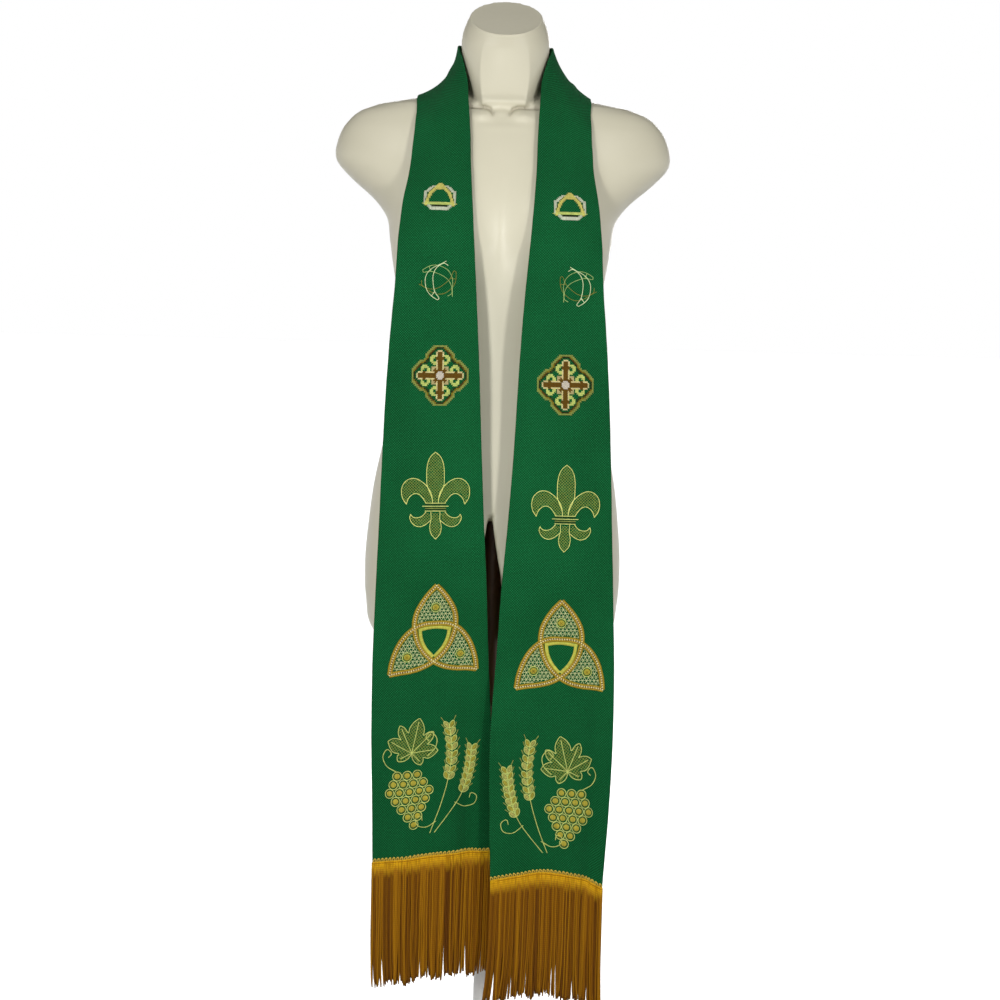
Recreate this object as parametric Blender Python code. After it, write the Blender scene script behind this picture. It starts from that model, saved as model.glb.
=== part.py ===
"""Clerical stole hung round the neck of a limbless dress form on a plain stand.

Metres, +Z up, origin on the floor under the middle of the stand. The wearer faces -Y, so the
wearer's left front hangs on the +X side. Every length below is a real size.
"""
import math
import random
from collections import namedtuple

import bmesh
import bpy
import numpy as np
from mathutils import Vector
from mathutils.bvhtree import BVHTree

# Cloth
CLOTH_WALL = 0.0020
SEAM_GAP = 0.0003            # between two pieces that are sewn or that lie on each other
PANEL_LENGTH = 1.1350        # centre-back seam to the top of the fringe header
HEM_TURNING = 0.0090         # cloth that runs on behind the header
NECK_SLIP = 0.0060           # the stole has slid this far round the neck, towards the left front
HEM_BLEND = 0.3000           # the hem's slant fades out over this length
CLEAR_OF_FORM = 0.0021       # middle of the cloth's wall to the form, at least
COLUMNS_ACROSS = 12
ROWS_ROUND_NECK = 30
ROWS_DOWN_FRONT = 20
NECK_STRETCH = 0.4200        # length of a panel that bends round neck, shoulder and chest
COLLAR_PLACE = 0.1300        # along a panel, where the cloth stands out most at the side of the neck
COLLAR_SPREAD = 0.0500
EDGE_HOLD = 2.2              # how fast an edge's shift backwards dies out towards the middle
CLOTH_SMOOTH = 60            # degrees between facets that are shaded as one surface

# Fringe
HEADER_DEPTH = 0.0130
HEADER_TOP_THICK = 0.0026
HEADER_THICK = 0.0040        # at its underside, where the strands come out
HEADER_EASE = 0.0003         # keeps the strip's straight facets clear of the cloth's bends
STRAND_PAIRS = 46            # two rows of strands to each front, one behind the other
STRAND_LENGTH = 0.1480
STRAND_RAGGED = 0.0050       # how much longer or shorter one strand may be
STRAND_INSET = 0.00040       # half the gap between two strands at their roots
STRAND_STEPS = 3
STRAND_OWN_LEAN = 0.00012    # how far one tip may stray from its neighbours, less than the gap
SWAY_SIDEWAYS = 0.0008
SWAY_BACK = 0.0014
SWAY_WAVE = 30               # radians to a metre across the hem
SWAY_RIPPLE = 70

# Stand
BASE_RADIUS = 0.1550
BASE_EDGE = 0.0060           # the plate's height at its rim
BASE_CROWN = 0.0110          # and at the hub
BASE_FOOT_BEVEL = 0.0012
BASE_RIM_BEVEL = 0.0018
HUB_RADIUS = 0.0260
HUB_TOP = 0.0300
HUB_FILLET = 0.0040
HUB_BEVEL = 0.0020
POLE_RADIUS = 0.0110
POLE_FOOT = 0.0120
POLE_TOP = 0.7900
POLE_CLEARANCE = 0.0003
METAL_SMOOTH = 35
ROUND_SIDES = 28

# Form
FORM_SIDES = 32
FORM_SMOOTH = 40
FORM_RING_STEP = 0.0260      # most that two rings of the body lie apart
NECK_RING_STEP = 0.0100
SOCKET_RUN_OUT = 0.0450      # the tool for the pole's socket runs out below the form by this much
BUST_HEIGHT = 1.0650
BUST_APART = 0.0740          # from the middle to each side's fullest point
BUST_RISE = 0.0290
BUST_HALF_WIDTH = 0.0440
BUST_FADE_UP = 0.0600
BUST_FADE_DOWN = 0.0400

Ring = namedtuple("Ring", "height half_width front back square")
FORM_RINGS = (
    Ring(0.5450, 0.1360, -0.066, 0.074, 2.5),
    Ring(0.5485, 0.1460, -0.074, 0.082, 2.5),
    Ring(0.5600, 0.1545, -0.081, 0.090, 2.5),
    Ring(0.5950, 0.1620, -0.087, 0.098, 2.4),
    Ring(0.6450, 0.1645, -0.091, 0.106, 2.3),
    Ring(0.7000, 0.1605, -0.092, 0.107, 2.2),
    Ring(0.7500, 0.1540, -0.091, 0.098, 2.2),
    Ring(0.8100, 0.1410, -0.088, 0.084, 2.2),
    Ring(0.8700, 0.1275, -0.083, 0.075, 2.2),
    Ring(0.9200, 0.1220, -0.080, 0.073, 2.2),
    Ring(0.9700, 0.1260, -0.083, 0.078, 2.2),
    Ring(1.0200, 0.1350, -0.089, 0.087, 2.2),
    Ring(1.0600, 0.1410, -0.093, 0.094, 2.2),
    Ring(1.0820, 0.1440, -0.094, 0.097, 2.2),
    Ring(1.1060, 0.1610, -0.092, 0.098, 2.1),
    Ring(1.1310, 0.1900, -0.087, 0.097, 2.0),
    Ring(1.1550, 0.2110, -0.080, 0.093, 2.0),
    Ring(1.1800, 0.2095, -0.071, 0.086, 2.0),
    Ring(1.2060, 0.1950, -0.059, 0.075, 2.0),
    Ring(1.2180, 0.1800, -0.051, 0.067, 2.0),
    Ring(1.2260, 0.1580, -0.044, 0.060, 2.0),
    Ring(1.2320, 0.1260, -0.036, 0.054, 2.0),
    Ring(1.2370, 0.0970, -0.028, 0.048, 2.0),
    Ring(1.2420, 0.0740, -0.020, 0.042, 2.0),
    Ring(1.2470, 0.0560, -0.012, 0.036, 2.0),
    Ring(1.2500, 0.0400, -0.005, 0.030, 2.0),
)

NeckRing = namedtuple("NeckRing", "height half_width half_depth tilt")
NECK_RINGS = (
    NeckRing(1.1900, 0.0350, 0.0370, 0),
    NeckRing(1.2310, 0.0370, 0.0395, 0),
    NeckRing(1.2500, 0.0425, 0.0425, 4),
    NeckRing(1.2700, 0.0490, 0.0470, 10),
    NeckRing(1.2900, 0.0540, 0.0525, 17),
    NeckRing(1.3100, 0.0555, 0.0580, 26),
    NeckRing(1.3280, 0.0530, 0.0620, 34),
    NeckRing(1.3400, 0.0490, 0.0615, 38),
    NeckRing(1.3450, 0.0445, 0.0580, 38),
)

NotchRing = namedtuple("NotchRing", "height half_width flare")
NOTCH_RINGS = (
    NotchRing(0.7160, 0.0006, 0.000),
    NotchRing(0.6950, 0.0045, 0.002),
    NotchRing(0.6600, 0.0095, 0.005),
    NotchRing(0.6250, 0.0140, 0.009),
    NotchRing(0.5800, 0.0180, 0.013),
    NotchRing(0.5300, 0.0210, 0.017),
)
NOTCH_REACH = 0.1600
NOTCH_FLARE_AT = 0.0900      # distance from the middle where a ring is wider by its flare
NOTCH_STEPS = 12

# Drape of one front, from the back of the neck to below the hem: inner edge, outer edge, and how
# far the middle of the section stands out from the line between them.
Section = namedtuple("Section", "inner_x inner_y inner_z outer_x outer_y outer_z bow")
DRAPE = (
    Section(0.0000, 0.0580, 1.3010, 0.0000, 0.0660, 1.2220, 0.000),
    Section(0.0330, 0.0490, 1.3020, 0.0480, 0.0640, 1.2240, -0.001),
    Section(0.0540, 0.0260, 1.3030, 0.0860, 0.0460, 1.2310, -0.006),
    Section(0.0595, 0.0000, 1.2990, 0.1070, 0.0120, 1.2385, -0.012),
    Section(0.0535, -0.0230, 1.2820, 0.1090, -0.0180, 1.2320, -0.010),
    Section(0.0465, -0.0400, 1.2560, 0.1080, -0.0400, 1.2180, -0.003),
    Section(0.0440, -0.0590, 1.2250, 0.1090, -0.0600, 1.1960, 0.002),
    Section(0.0415, -0.0760, 1.1880, 0.1105, -0.0740, 1.1700, 0.004),
    Section(0.0400, -0.0940, 1.1440, 0.1130, -0.0880, 1.1380, 0.005),
    Section(0.0375, -0.1100, 1.1040, 0.1190, -0.1030, 1.1040, 0.006),
    Section(0.0345, -0.1210, 1.0600, 0.1235, -0.1130, 1.0600, 0.007),
    Section(0.0300, -0.1270, 1.0000, 0.1270, -0.1180, 1.0000, 0.007),
    Section(0.0245, -0.1300, 0.9100, 0.1340, -0.1220, 0.9100, 0.006),
    Section(0.0200, -0.1310, 0.8100, 0.1392, -0.1250, 0.8100, 0.005),
    Section(0.0150, -0.1310, 0.7200, 0.1425, -0.1270, 0.7200, 0.004),
    Section(0.0090, -0.1310, 0.6300, 0.1460, -0.1280, 0.6300, 0.003),
    Section(0.0055, -0.1310, 0.5400, 0.1490, -0.1290, 0.5400, 0.003),
    Section(0.0020, -0.1310, 0.4500, 0.1495, -0.1300, 0.4500, 0.003),
    Section(0.0010, -0.1310, 0.3500, 0.1475, -0.1300, 0.3500, 0.003),
    Section(0.0015, -0.1310, 0.2300, 0.1435, -0.1300, 0.2300, 0.003),
)

# How each front departs from that drape: shift of its edges, sideways and back, at a height.
Hang = namedtuple("Hang", "height inner_out outer_out inner_back outer_back")
LEFT_HANG = (
    Hang(1.2500, 0.0000, 0.0000, 0.0000, 0.0000),
    Hang(1.1000, 0.0025, -0.0005, 0.0000, 0.0000),
    Hang(0.9800, 0.0023, 0.0003, 0.0000, 0.0000),
    Hang(0.7900, 0.0035, 0.0023, 0.0000, 0.0000),
    Hang(0.5900, 0.0030, 0.0042, -0.0040, 0.0000),
    Hang(0.4400, 0.0014, 0.0057, -0.0070, 0.0000),
    Hang(0.3400, 0.0040, 0.0051, -0.0080, 0.0010),
    Hang(0.2900, 0.0059, 0.0040, -0.0080, 0.0020),
    Hang(0.2000, 0.0070, 0.0035, -0.0080, 0.0030),
)
RIGHT_HANG = (
    Hang(1.2500, 0.0000, 0.0000, 0.0000, 0.0000),
    Hang(1.1000, -0.0025, 0.0005, 0.0000, 0.0000),
    Hang(0.9800, -0.0022, -0.0002, 0.0000, 0.0000),
    Hang(0.7900, -0.0035, -0.0023, 0.0000, 0.0000),
    Hang(0.5900, -0.0031, -0.0043, 0.0040, 0.0000),
    Hang(0.4400, -0.0014, -0.0056, 0.0110, 0.0000),
    Hang(0.3400, -0.0039, -0.0065, 0.0150, 0.0000),
    Hang(0.2900, -0.0058, -0.0060, 0.0160, 0.0000),
    Hang(0.2000, -0.0070, -0.0055, 0.0160, 0.0000),
)

# Soft vertical folds: place across the front (0 inner edge, 1 outer), half width, depth (back is
# positive), and the heights where each is full and where it has died out.
Fold = namedtuple("Fold", "across half_width depth full_at gone_at")
LEFT_FOLDS = (
    Fold(0.86, 0.070, 0.0050, 0.30, 0.62),
    Fold(0.40, 0.200, 0.0030, 0.34, 0.80),
    Fold(0.62, 0.120, -0.0030, 0.40, 0.95),
)
RIGHT_FOLDS = (
    Fold(0.20, 0.080, 0.0060, 0.30, 0.66),
    Fold(0.52, 0.130, 0.0030, 0.36, 0.78),
    Fold(0.74, 0.120, -0.0025, 0.42, 0.95),
)

# How far the hem hangs below its level line, across each front.
Drop = namedtuple("Drop", "across lower")
LEFT_HEM = (
    Drop(0.00, 0.0116),
    Drop(0.22, 0.0065),
    Drop(0.52, 0.0020),
    Drop(0.80, 0.0095),
    Drop(1.00, 0.0220),
)
RIGHT_HEM = (
    Drop(0.00, -0.0082),
    Drop(0.20, -0.0082),
    Drop(0.52, -0.0040),
    Drop(0.80, 0.0010),
    Drop(1.00, 0.0050),
)

# collar: how much further the cloth stands out at the side of the neck. inner_lean and outer_lean:
# how far the strand tips at the two ends of the fringe swing outwards.
Front = namedtuple("Front", "name side hang folds hem collar inner_lean outer_lean seed")
FRONTS = (
    Front("left", 1, LEFT_HANG, LEFT_FOLDS, LEFT_HEM, 0.0060, -0.0060, 0.0010, 11),
    Front("right", -1, RIGHT_HANG, RIGHT_FOLDS, RIGHT_HEM, 0.0000, 0.0020, -0.0030, 23),
)


def clear_scene():
    for item in list(bpy.data.objects):
        bpy.data.objects.remove(item, do_unlink=True)


def finish_material(name, colour, roughness, metallic=0.0):
    material = bpy.data.materials.new(name)
    material.use_nodes = True
    shader = material.node_tree.nodes["Principled BSDF"]
    shader.inputs["Base Color"].default_value = (*colour, 1.0)
    shader.inputs["Roughness"].default_value = roughness
    shader.inputs["Metallic"].default_value = metallic
    return material


def add_object(name, points, faces, material, smooth_angle=None):
    mesh = bpy.data.meshes.new(name)
    mesh.from_pydata([tuple(point) for point in points], [], faces)
    mesh.validate()
    mesh.materials.append(material)
    if smooth_angle is not None:
        mesh.shade_smooth()
        mesh.set_sharp_from_angle(angle=math.radians(smooth_angle))
    item = bpy.data.objects.new(name, mesh)
    bpy.context.scene.collection.objects.link(item)
    return item


def smooth_rows(stations, rows, at):
    """The rows read at any stations, on smooth curves through them."""
    stations = np.asarray(stations, dtype=float)
    rows = np.asarray(rows, dtype=float)
    at = np.atleast_1d(np.asarray(at, dtype=float))
    slope = np.gradient(rows, stations, axis=0)
    index = np.clip(np.searchsorted(stations, at, side="right") - 1, 0, len(stations) - 2)
    span = (stations[index + 1] - stations[index])[:, None]
    part = (at - stations[index])[:, None] / span
    square, cube = part ** 2, part ** 3
    return (
        (2 * cube - 3 * square + 1) * rows[index]
        + (cube - 2 * square + part) * span * slope[index]
        + (3 * square - 2 * cube) * rows[index + 1]
        + (cube - square) * span * slope[index + 1]
    )


def heights_between(heights, most_apart):
    """The heights, and evenly spaced ones between them, so that no two lie further apart than asked."""
    filled = []
    for low, high in zip(heights, heights[1:]):
        steps = max(1, round((high - low) / most_apart))
        filled += [low + (high - low) * step / steps for step in range(steps)]
    return filled + [heights[-1]]


def round_turns(sides):
    """The angles of a ring's corners, anticlockwise seen from above."""
    return [2 * math.pi * step / sides for step in range(sides)]


def round_ring(radius, height):
    return [(radius * math.cos(turn), radius * math.sin(turn), height) for turn in round_turns(ROUND_SIDES)]


def side_faces(ring_count, sides):
    """Quads between rings that run anticlockwise seen from above, each ring above the last."""
    faces = []
    for ring in range(ring_count - 1):
        for step in range(sides):
            turn = (step + 1) % sides
            low, high = ring * sides, (ring + 1) * sides
            faces.append((low + step, low + turn, high + turn, high + step))
    return faces


def loft(name, rings, material, smooth_angle=None):
    """A closed body through rings from the bottom up, its two ends closed flat."""
    sides = len(rings[0])
    points = [point for ring in rings for point in ring]
    faces = side_faces(len(rings), sides)
    faces.append(tuple(reversed(range(sides))))
    faces.append(tuple(range(len(points) - sides, len(points))))
    return add_object(name, points, faces, material, smooth_angle)


def hide_as_tool(item):
    item.hide_render = True
    item.display_type = "WIRE"


def boolean(item, operation, tool):
    hide_as_tool(tool)
    modifier = item.modifiers.new(operation.lower() + "_" + tool.name, "BOOLEAN")
    modifier.operation = operation
    modifier.solver = "EXACT"
    modifier.object = tool


# ---- the form ------------------------------------------------------------------------------


def form_ring(ring):
    """One level ring of the form, with the bust raised on its front."""
    centre = (ring.front + ring.back) / 2
    half_depth = (ring.back - ring.front) / 2
    points = []
    for turn in round_turns(FORM_SIDES):
        across, along = math.cos(turn), math.sin(turn)
        x = ring.half_width * math.copysign(abs(across) ** (2 / ring.square), across)
        y = centre + half_depth * math.copysign(abs(along) ** (2 / ring.square), along)
        if along < 0:
            off_centre = (abs(x) - BUST_APART) / BUST_HALF_WIDTH
            above = ring.height - BUST_HEIGHT
            level = above / (BUST_FADE_UP if above > 0 else BUST_FADE_DOWN)
            y -= BUST_RISE * math.exp(-off_centre ** 2 - level ** 2) * abs(along) ** 0.5
        points.append((x, y, ring.height))
    return points


def form_body(material):
    heights = [ring.height for ring in FORM_RINGS]
    rows = smooth_rows(heights, FORM_RINGS, heights_between(heights, FORM_RING_STEP))
    return loft("dress_form", [form_ring(Ring(*row)) for row in rows], material, FORM_SMOOTH)


def neck_stub(material):
    """The neck swells to a blunt top whose flat face looks forward and up."""
    rings = []
    heights = [ring.height for ring in NECK_RINGS]
    for row in smooth_rows(heights, NECK_RINGS, heights_between(heights, NECK_RING_STEP)):
        ring = NeckRing(*row)
        tilt = math.radians(ring.tilt)
        rings.append([
            (
                ring.half_width * math.cos(turn),
                ring.half_depth * math.sin(turn) * math.cos(tilt),
                ring.height + ring.half_depth * math.sin(turn) * math.sin(tilt),
            )
            for turn in round_turns(FORM_SIDES)
        ])
    return loft("neck_stub", rings, material, FORM_SMOOTH)


def thigh_notch(material):
    """The gap between the thigh stubs, wider at the front and back so that the stubs look round."""
    rings = []
    for ring in reversed(NOTCH_RINGS):
        reaches = [NOTCH_REACH * (2 * step / NOTCH_STEPS - 1) for step in range(NOTCH_STEPS + 1)]
        widths = [ring.half_width + ring.flare * (abs(reach) / NOTCH_FLARE_AT) ** 3 for reach in reaches]
        right_side = [(width, reach, ring.height) for reach, width in zip(reaches, widths)]
        left_side = [(-width, reach, ring.height) for reach, width in zip(reaches, widths)]
        rings.append(right_side + left_side[::-1])
    return loft("thigh_notch", rings, material)


def round_bar(name, radius, low, high, material, smooth_angle=None):
    return loft(name, [round_ring(radius, low), round_ring(radius, high)], material, smooth_angle)


def dress_form(material):
    form = form_body(material)
    boolean(form, "UNION", neck_stub(material))
    boolean(form, "DIFFERENCE", thigh_notch(material))
    low = FORM_RINGS[0].height - SOCKET_RUN_OUT
    high = POLE_TOP + POLE_CLEARANCE
    boolean(form, "DIFFERENCE", round_bar("pole_socket", POLE_RADIUS + POLE_CLEARANCE, low, high, material))
    return form


# ---- the stand -----------------------------------------------------------------------------


def stand_base(material):
    """A turned plate with a softened rim, a low crown and a hub that holds the pole's foot."""
    bore = POLE_RADIUS + POLE_CLEARANCE
    floor = POLE_FOOT - POLE_CLEARANCE
    profile = (
        (BASE_RADIUS - BASE_FOOT_BEVEL, 0.0),
        (BASE_RADIUS, BASE_FOOT_BEVEL),
        (BASE_RADIUS, BASE_EDGE - BASE_RIM_BEVEL),
        (BASE_RADIUS - BASE_RIM_BEVEL, BASE_EDGE),
        (HUB_RADIUS + HUB_FILLET, BASE_CROWN),
        (HUB_RADIUS, BASE_CROWN + HUB_FILLET),
        (HUB_RADIUS, HUB_TOP - HUB_BEVEL),
        (HUB_RADIUS - HUB_BEVEL, HUB_TOP),
        (bore, HUB_TOP),
        (bore, floor),
    )
    rings = [round_ring(radius, height) for radius, height in profile]
    return loft("stand_base", rings, material, METAL_SMOOTH)


def stand_pole(material):
    return round_bar("stand_pole", POLE_RADIUS, POLE_FOOT, POLE_TOP, material, METAL_SMOOTH)


# ---- the stole -----------------------------------------------------------------------------


def drape_table():
    """The drape from one hem over the back of the neck to the other, and its stations."""
    front = np.array(DRAPE, dtype=float)
    middle = (front[:, 0:3] + front[:, 3:6]) / 2
    steps = np.linalg.norm(np.diff(middle, axis=0), axis=1)
    along = np.concatenate([[0.0], np.cumsum(steps)])
    mirror = front[1:][::-1].copy()
    mirror[:, 0] *= -1
    mirror[:, 3] *= -1
    return np.concatenate([-along[1:][::-1], along]), np.concatenate([mirror, front])


def drape_points(front, along, across):
    """Points of the cloth's middle: one row for each distance from the seam, one column across."""
    stations, table = drape_table()
    drops = np.array(front.hem, dtype=float)
    drop = smooth_rows(drops[:, 0], drops[:, 1:], across)[:, 0]
    fade = np.clip((along - PANEL_LENGTH + HEM_BLEND) / HEM_BLEND, 0, None) ** 2
    place = NECK_SLIP + front.side * (along[:, None] + fade[:, None] * drop[None, :])
    rows = smooth_rows(stations, table, place.ravel()).reshape(len(along), len(across), 7)
    share = across[None, :, None]
    points = rows[:, :, 0:3] * (1 - share) + rows[:, :, 3:6] * share
    down = np.gradient(points, axis=0)
    over = np.gradient(points, axis=1)
    outward = np.cross(over, down) * -front.side
    outward /= np.linalg.norm(outward, axis=2, keepdims=True)
    collar = front.collar * np.exp(-((along - COLLAR_PLACE) / COLLAR_SPREAD) ** 2)
    bow = rows[:, :, 6:7] + collar[:, None, None]
    points = points + outward * bow * 4 * share * (1 - share)
    return points + hang_shift(front, points, across)


def hang_shift(front, points, across):
    """Sideways and backwards shifts of one front: its own hang and its soft folds."""
    hang = np.array(front.hang[::-1], dtype=float)
    height = np.clip(points[:, :, 2], hang[0, 0], hang[-1, 0])
    shift = smooth_rows(hang[:, 0], hang[:, 1:], height.ravel()).reshape(*height.shape, 4)
    shift *= (points[:, :, 1:2] < 0)
    sideways = shift[:, :, 0] * (1 - across) + shift[:, :, 1] * across
    backwards = shift[:, :, 2] * (1 - across) ** EDGE_HOLD + shift[:, :, 3] * across ** EDGE_HOLD
    for fold in front.folds:
        strength = np.clip((fold.gone_at - points[:, :, 2]) / (fold.gone_at - fold.full_at), 0, 1)
        strength = strength ** 2 * (3 - 2 * strength)
        off_middle = (across - fold.across) / fold.half_width
        backwards = backwards + fold.depth * strength * np.exp(-off_middle ** 2)
    return np.stack([front.side * sideways, backwards, np.zeros_like(backwards)], axis=2)


def lift_off_form(points, form_tree):
    """Points closer to the form than the cloth's own clearance are moved straight out from it."""
    for point in points.reshape(-1, 3):
        nearest, normal, _, distance = form_tree.find_nearest(Vector(point))
        inside = (Vector(point) - nearest).dot(normal) < 0
        if inside or distance < CLEAR_OF_FORM:
            point[:] = nearest + normal * CLEAR_OF_FORM
    return points


def panel_stations():
    round_neck = np.linspace(SEAM_GAP / 2, NECK_STRETCH, ROWS_ROUND_NECK, endpoint=False)
    down_front = np.linspace(NECK_STRETCH, PANEL_LENGTH, ROWS_DOWN_FRONT + 1)
    return np.concatenate([round_neck, down_front, [PANEL_LENGTH + HEM_TURNING]])


def panel_grid(front, form_tree):
    """The middle of a panel's wall: a row of points for each station from the seam to the hem."""
    across = np.linspace(0, 1, COLUMNS_ACROSS + 1)
    return lift_off_form(drape_points(front, panel_stations(), across), form_tree)


def panel(front, grid, material):
    """One half of the stole, from the centre-back seam to the hem, as a wall round its middle."""
    rows, columns = grid.shape[:2]
    faces = []
    for row in range(rows - 1):
        for column in range(columns - 1):
            corner = row * columns + column
            quad = (corner, corner + columns, corner + columns + 1, corner + 1)
            faces.append(quad if front.side > 0 else quad[::-1])
    item = add_object("panel_" + front.name, grid.reshape(-1, 3), faces, material, CLOTH_SMOOTH)
    wall = item.modifiers.new("wall", "SOLIDIFY")
    wall.thickness = CLOTH_WALL
    wall.offset = 0.0
    wall.use_even_offset = True
    return item


def header_lines(front, grid):
    """Lines of the header strip: its back and its face, each at its top and its bottom."""
    top, hem = grid[-2], grid[-1]
    low = top + (hem - top) * (HEADER_DEPTH / HEM_TURNING)
    columns = np.linspace(0, len(top) - 1, STRAND_PAIRS + 1)
    back = []
    face = []
    for line, thick in ((top, HEADER_TOP_THICK), (low, HEADER_THICK)):
        outward = np.cross(np.gradient(line, axis=0), top - hem) * front.side
        outward /= np.linalg.norm(outward, axis=1, keepdims=True)
        behind = line + outward * (CLOTH_WALL / 2 + SEAM_GAP + HEADER_EASE)
        ahead = behind + outward * thick
        whole = np.arange(len(line))
        back.append(np.stack([np.interp(columns, whole, behind[:, axis]) for axis in range(3)], axis=1))
        face.append(np.stack([np.interp(columns, whole, ahead[:, axis]) for axis in range(3)], axis=1))
    return back, face


def fringe(front, grid, material):
    """A header strip on the hem, and two rows of strands drawn down out of its underside."""
    back, face = header_lines(front, grid)
    between_rows = (back[1] + face[1]) / 2
    lines = [back[0], face[0], face[1], between_rows, back[1]]
    shell = bmesh.new()
    verts = [[shell.verts.new(Vector(point)) for point in line] for line in lines]
    flip = front.side < 0

    def face_of(corners):
        return shell.faces.new(corners[::-1] if flip else corners)

    undersides = []
    for step in range(STRAND_PAIRS):
        for line in range(len(lines)):
            here, following = verts[line], verts[(line + 1) % len(lines)]
            quad = face_of([here[step], following[step], following[step + 1], here[step + 1]])
            if line in (2, 3):
                undersides.append(quad)
    face_of([line[0] for line in verts][::-1])
    face_of([line[STRAND_PAIRS] for line in verts])
    draw_strands(shell, undersides, front)
    mesh = bpy.data.meshes.new("fringe_" + front.name)
    shell.normal_update()
    shell.to_mesh(mesh)
    shell.free()
    mesh.materials.append(material)
    item = bpy.data.objects.new("fringe_" + front.name, mesh)
    bpy.context.scene.collection.objects.link(item)
    return item


def draw_strands(shell, undersides, front):
    """Each underside face is inset and drawn down in steps; neighbours sway alike and stay apart."""
    chance = random.Random(front.seed)
    shell.normal_update()
    bmesh.ops.inset_individual(shell, faces=undersides, thickness=STRAND_INSET, use_even_offset=True)
    for place, face in enumerate(undersides):
        across = place / len(undersides)
        lean = front.inner_lean * (1 - across) ** 2 + front.outer_lean * across ** 2
        lean = front.side * lean + chance.uniform(-STRAND_OWN_LEAN, STRAND_OWN_LEAN)
        length = STRAND_LENGTH + chance.uniform(-STRAND_RAGGED, STRAND_RAGGED)
        root = face.calc_center_median()
        wave = math.sin(SWAY_WAVE * root.x + front.seed)
        ripple = math.sin(SWAY_RIPPLE * root.x + front.seed)
        end = Vector((SWAY_SIDEWAYS * (wave + ripple / 2) + lean, SWAY_BACK * wave, -length))
        tip = face
        for step in range(1, STRAND_STEPS + 1):
            target = root + end * (step / STRAND_STEPS)
            tip = bmesh.ops.extrude_discrete_faces(shell, faces=[tip])["faces"][0]
            shift = target - tip.calc_center_median()
            for corner in tip.verts:
                corner.co += shift
                corner.co.z = target.z


def build():
    clear_scene()
    cloth = finish_material("green_evenweave", (0.010, 0.105, 0.034), 0.85)
    thread = finish_material("gold_fringe", (0.300, 0.140, 0.012), 0.55)
    plastic = finish_material("cream_plastic", (0.760, 0.730, 0.600), 0.35)
    steel = finish_material("dark_painted_steel", (0.020, 0.014, 0.010), 0.45)
    form = dress_form(plastic)
    stand_pole(steel)
    stand_base(steel)
    form_tree = BVHTree.FromObject(form, bpy.context.evaluated_depsgraph_get())
    for front in FRONTS:
        grid = panel_grid(front, form_tree)
        panel(front, grid, cloth)
        fringe(front, grid, thread)


build()
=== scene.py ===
"""Looks of a clerical stole that hangs round the neck of a limbless dress form on a plain stand.

Metres, +Z up. The wearer faces -Y, so the wearer's left front hangs on the +X side.
"""
import math
from collections import namedtuple

import bpy
import numpy as np
from mathutils import Matrix, Vector
from mathutils.bvhtree import BVHTree


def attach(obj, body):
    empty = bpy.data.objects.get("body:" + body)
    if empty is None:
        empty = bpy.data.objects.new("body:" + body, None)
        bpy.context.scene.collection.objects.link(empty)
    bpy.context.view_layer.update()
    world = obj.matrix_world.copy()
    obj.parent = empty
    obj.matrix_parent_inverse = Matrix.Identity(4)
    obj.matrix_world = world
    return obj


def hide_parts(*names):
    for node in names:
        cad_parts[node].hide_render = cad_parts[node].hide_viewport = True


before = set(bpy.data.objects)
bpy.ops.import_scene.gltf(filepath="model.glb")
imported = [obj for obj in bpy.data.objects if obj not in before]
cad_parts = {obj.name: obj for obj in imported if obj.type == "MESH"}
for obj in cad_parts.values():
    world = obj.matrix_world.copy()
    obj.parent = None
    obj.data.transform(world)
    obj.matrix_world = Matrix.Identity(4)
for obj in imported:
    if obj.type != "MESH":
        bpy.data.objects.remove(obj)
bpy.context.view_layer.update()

MM = 0.001
FULL_TURN = 2 * math.pi


def rows_of(kind, *rows):
    """A table: rows whose columns have the names of their kind."""
    return tuple(kind(*row) for row in rows)



# ---- sizes of the cloth

CLOTH_WALL = 0.0020
SEAM_GAP = 0.0003  # between the two panels at the back of the neck
PANEL_LENGTH = 1.1350  # centre-back seam to the top of the fringe header
HEM_TURNING = 0.0090  # cloth that runs on behind the header
NECK_SLIP = 0.0060  # the stole has slid this far round the neck, towards the left front
HEM_BLEND = 0.3000  # the hem's slant fades out over this length
CLEAR_OF_FORM = 0.0021  # middle of the cloth's wall to the form, at least
NECK_STRETCH = 0.4200  # length of a panel that bends round neck, shoulder and chest
COLLAR_PLACE = 0.1300  # along a panel, where the cloth stands out most at the side of the neck
COLLAR_SPREAD = 0.0500
EDGE_HOLD = 2.2  # how fast an edge's shift backwards dies out towards the middle
TOUCHES_FORM_ABOVE = 0.9000  # lower down, the fronts hang free of the form
SEAM_PINCH = 0.55  # share of the wall that is pressed away at the centre-back seam
SEAM_PINCH_REACH = 0.0022
RIPPLE_HEIGHT = 0.00022  # faint unevenness of the long edges
RIPPLE_REACH = 0.12  # as a share of the width
RIPPLE_SLOW = 61  # waves along the cloth, radians to a metre
RIPPLE_QUICK = 143
RIPPLE_SLANT = 19
ROWS_ROUND_NECK = 170
ROWS_DOWN_FRONT = 230
COLUMNS_ACROSS = 48
EDGE_STEPS = 3  # corners of the rounded fold along each long edge

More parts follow.
